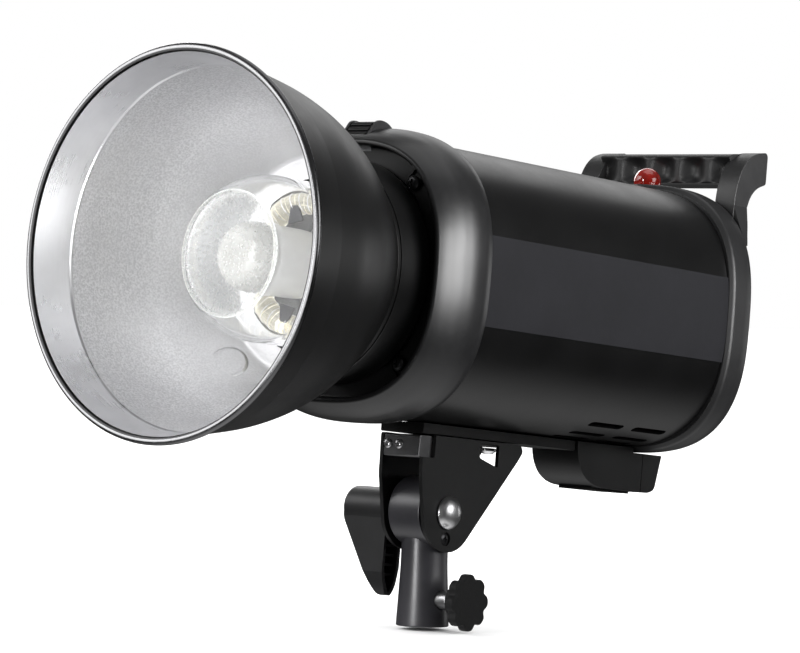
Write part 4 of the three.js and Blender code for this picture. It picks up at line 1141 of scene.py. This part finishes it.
# ------------------------------------------------------------------ stage
TARGET = Vector((0.008, -0.032, 0.141))
CAMERA_DISTANCE = 1.784
CAMERA_AZIMUTH = math.radians(40.9)
CAMERA_ELEVATION = math.radians(0.33)
CAMERA_ROLL = math.radians(1.8)
LENS = 172.9


def camera():
    toward = Vector((math.sin(CAMERA_AZIMUTH) * math.cos(CAMERA_ELEVATION),
                     -math.cos(CAMERA_AZIMUTH) * math.cos(CAMERA_ELEVATION), math.sin(CAMERA_ELEVATION)))
    made = bpy.data.objects.new("camera", bpy.data.cameras.new("camera"))
    bpy.context.scene.collection.objects.link(made)
    made.data.lens = LENS
    made.data.sensor_width = 36
    made.location = TARGET + toward * CAMERA_DISTANCE
    upright = toward.to_track_quat("Z", "Y").to_matrix().to_4x4()
    made.rotation_euler = (upright @ Matrix.Rotation(CAMERA_ROLL, 4, "Z")).to_euler()
    bpy.context.scene.camera = made


def softbox(name, place, aim, width, height, brightness):
    """A soft box that the camera doesn't see. Its brightness is that of its face, the same at any size."""
    data = bpy.data.lights.new(name, "AREA")
    data.shape = "RECTANGLE"
    data.size, data.size_y = width, height
    data.energy = brightness * math.pi * width * height
    made = bpy.data.objects.new(name, data)
    bpy.context.scene.collection.objects.link(made)
    made.location = place
    made.rotation_euler = (Vector(place) - Vector(aim)).to_track_quat("Z", "Y").to_euler()
    made.visible_camera = False
    return made


def only_lights(lights, names, label):
    """The lights light these pieces alone."""
    lit = bpy.data.collections.new(label)
    for name in names:
        lit.objects.link(bpy.data.objects[name])
    for light in lights:
        light.light_linking.receiver_collection = lit


PANEL_PIECES = ["rear_panel_moulding", "panel_screws", "display_bezel", "display_pane", "dial_ticks",
                "indicator_lamps", "dial_knurled", "rocker_cap", "inlet_moulding", "sync_jack_nut",
                *(f"{name}_cap" for name in BUTTONS)]


def lights():
    middle = (0, 0, 0.15)
    softbox("side box", (1.75, 0.45, 0.62), middle, 1.1, 0.9, 4)
    softbox("front strip", (-0.05, -2.0, 0.25), middle, 0.34, 1.3, 20)
    softbox("back strip", (0.5, 1.8, 0.12), middle, 0.4, 0.4, 2.0)
    softbox("back panel", (-0.95, 1.6, 1.35), middle, 1.7, 1.3, 1.1)
    softbox("top box", (0.1, 0.3, 1.9), middle, 1.5, 1.5, 1.0)
    softbox("left fill", (-1.6, -0.8, 0.9), middle, 1.0, 1.0, 1.6)
    softbox("left box", (-1.8, 0.9, 0.8), middle, 1.1, 1.0, 5)
    softbox("left front box", (-1.2, -1.4, 1.2), middle, 0.9, 0.9, 3)
    panel_box = softbox("panel box", (1.1, 1.7, 0.3), middle, 1.2, 1.2, 5)
    only_lights([panel_box], PANEL_PIECES, "lit by the panel box")
    collar_box = softbox("collar box", (1.8, 0.0, 0.46), middle, 1.7, 0.66, 17)
    only_lights([collar_box], ["collar_moulding", "rear_cover_moulding", "handle_moulding"],
                "lit by the collar box")
    bowl_middle = (0, -0.12, 0.16)
    panels = [softbox("bowl panel left", (-1.3, -1.7, 0.5), bowl_middle, 1.6, 1.6, 7.2),
              softbox("bowl panel right", (0.9, -1.9, -0.1), bowl_middle, 1.6, 1.8, 5.4)]
    only_lights(panels, ["bowl_spun", "umbrella_boss"], "lit by the bowl panels")


def surroundings():
    """A white backdrop for the camera, and a dimmer room, lighter above and below, that lights the part."""
    scene = bpy.context.scene
    scene.view_settings.view_transform = "Standard"
    world = bpy.data.worlds.new("studio")
    scene.world = world
    world.use_nodes = True
    tree = world.node_tree
    seen = node(tree, "ShaderNodeLightPath").outputs["Is Camera Ray"]
    backdrop = node(tree, "ShaderNodeBackground", {"Color": (1, 1, 1, 1), "Strength": 1.0})
    direction = node(tree, "ShaderNodeTexCoord").outputs["Generated"]
    height = node(tree, "ShaderNodeSeparateXYZ", {0: direction}).outputs[2]
    below = spread(tree, height, 1.1, 0.0, -0.95, -0.5)
    above = spread(tree, height, 0.0, 0.12, 0.1, 0.9)
    level = node(tree, "ShaderNodeMath", {0: below, 1: above}, operation="ADD").outputs[0]
    strength = node(tree, "ShaderNodeMath", {0: level, 1: 0.045}, operation="ADD").outputs[0]
    room = node(tree, "ShaderNodeBackground", {"Color": (1, 1, 1, 1), "Strength": strength})
    chosen = node(tree, "ShaderNodeMixShader", {0: seen, 1: room.outputs[0], 2: backdrop.outputs[0]})
    tree.links.new(chosen.outputs[0], tree.nodes["World Output"].inputs["Surface"])


def floor():
    """A pale floor with a light of its own, so that it stays as light as the backdrop."""
    mesh = bpy.data.meshes.new("floor")
    body = bmesh.new()
    bmesh.ops.create_circle(body, cap_ends=True, radius=40, segments=96)
    body.to_mesh(mesh)
    body.free()
    made = bpy.data.objects.new("floor", mesh)
    made.location.z = -0.0017
    bpy.context.scene.collection.objects.link(made)
    made.visible_glossy = False
    made.visible_diffuse = False
    tree, shader, material = blank("pale floor")
    where = places(tree, METRES)
    colours = blend_colours(tree, noise(tree, where, 260, 2), (0.86, 0.86, 0.86), (0.89, 0.89, 0.89))
    tree.links.new(colours, shader.inputs["Base Color"])
    shader.inputs["Roughness"].default_value = 0.9
    shader.inputs["Specular IOR Level"].default_value = 0.0
    mesh.materials.append(material)
    data = bpy.data.lights.new("floor light", "SUN")
    data.energy = 4.6
    data.angle = math.radians(150)
    sun = bpy.data.objects.new("floor light", data)
    bpy.context.scene.collection.objects.link(sun)
    only_floor = bpy.data.collections.new("lit by the floor light")
    only_floor.objects.link(made)
    sun.light_linking.receiver_collection = only_floor


def build():
    surroundings()
    camera()
    floor()
    body_shell()
    collar()
    ring_screws()
    slider()
    side_label(1, "side_label_right")
    side_label(-1, "side_label_left")
    rail()
    foot()
    rear_cover()
    rear_panel()
    panel_trim()
    buttons()
    dial()
    rocker()
    inlet()
    jack()
    photocell()
    handle()
    bowl()
    umbrella_boss()
    bayonet_neck()
    dome()
    modelling_lamp()
    flash_tube()
    flash_posts()
    lamp_plate()
    bracket()
    cross_block()
    bracket_bolts()
    lever()
    stand_socket()
    clamp_collar()
    clamp_knob()
    finish_kept_nodes()
    lights()


build()
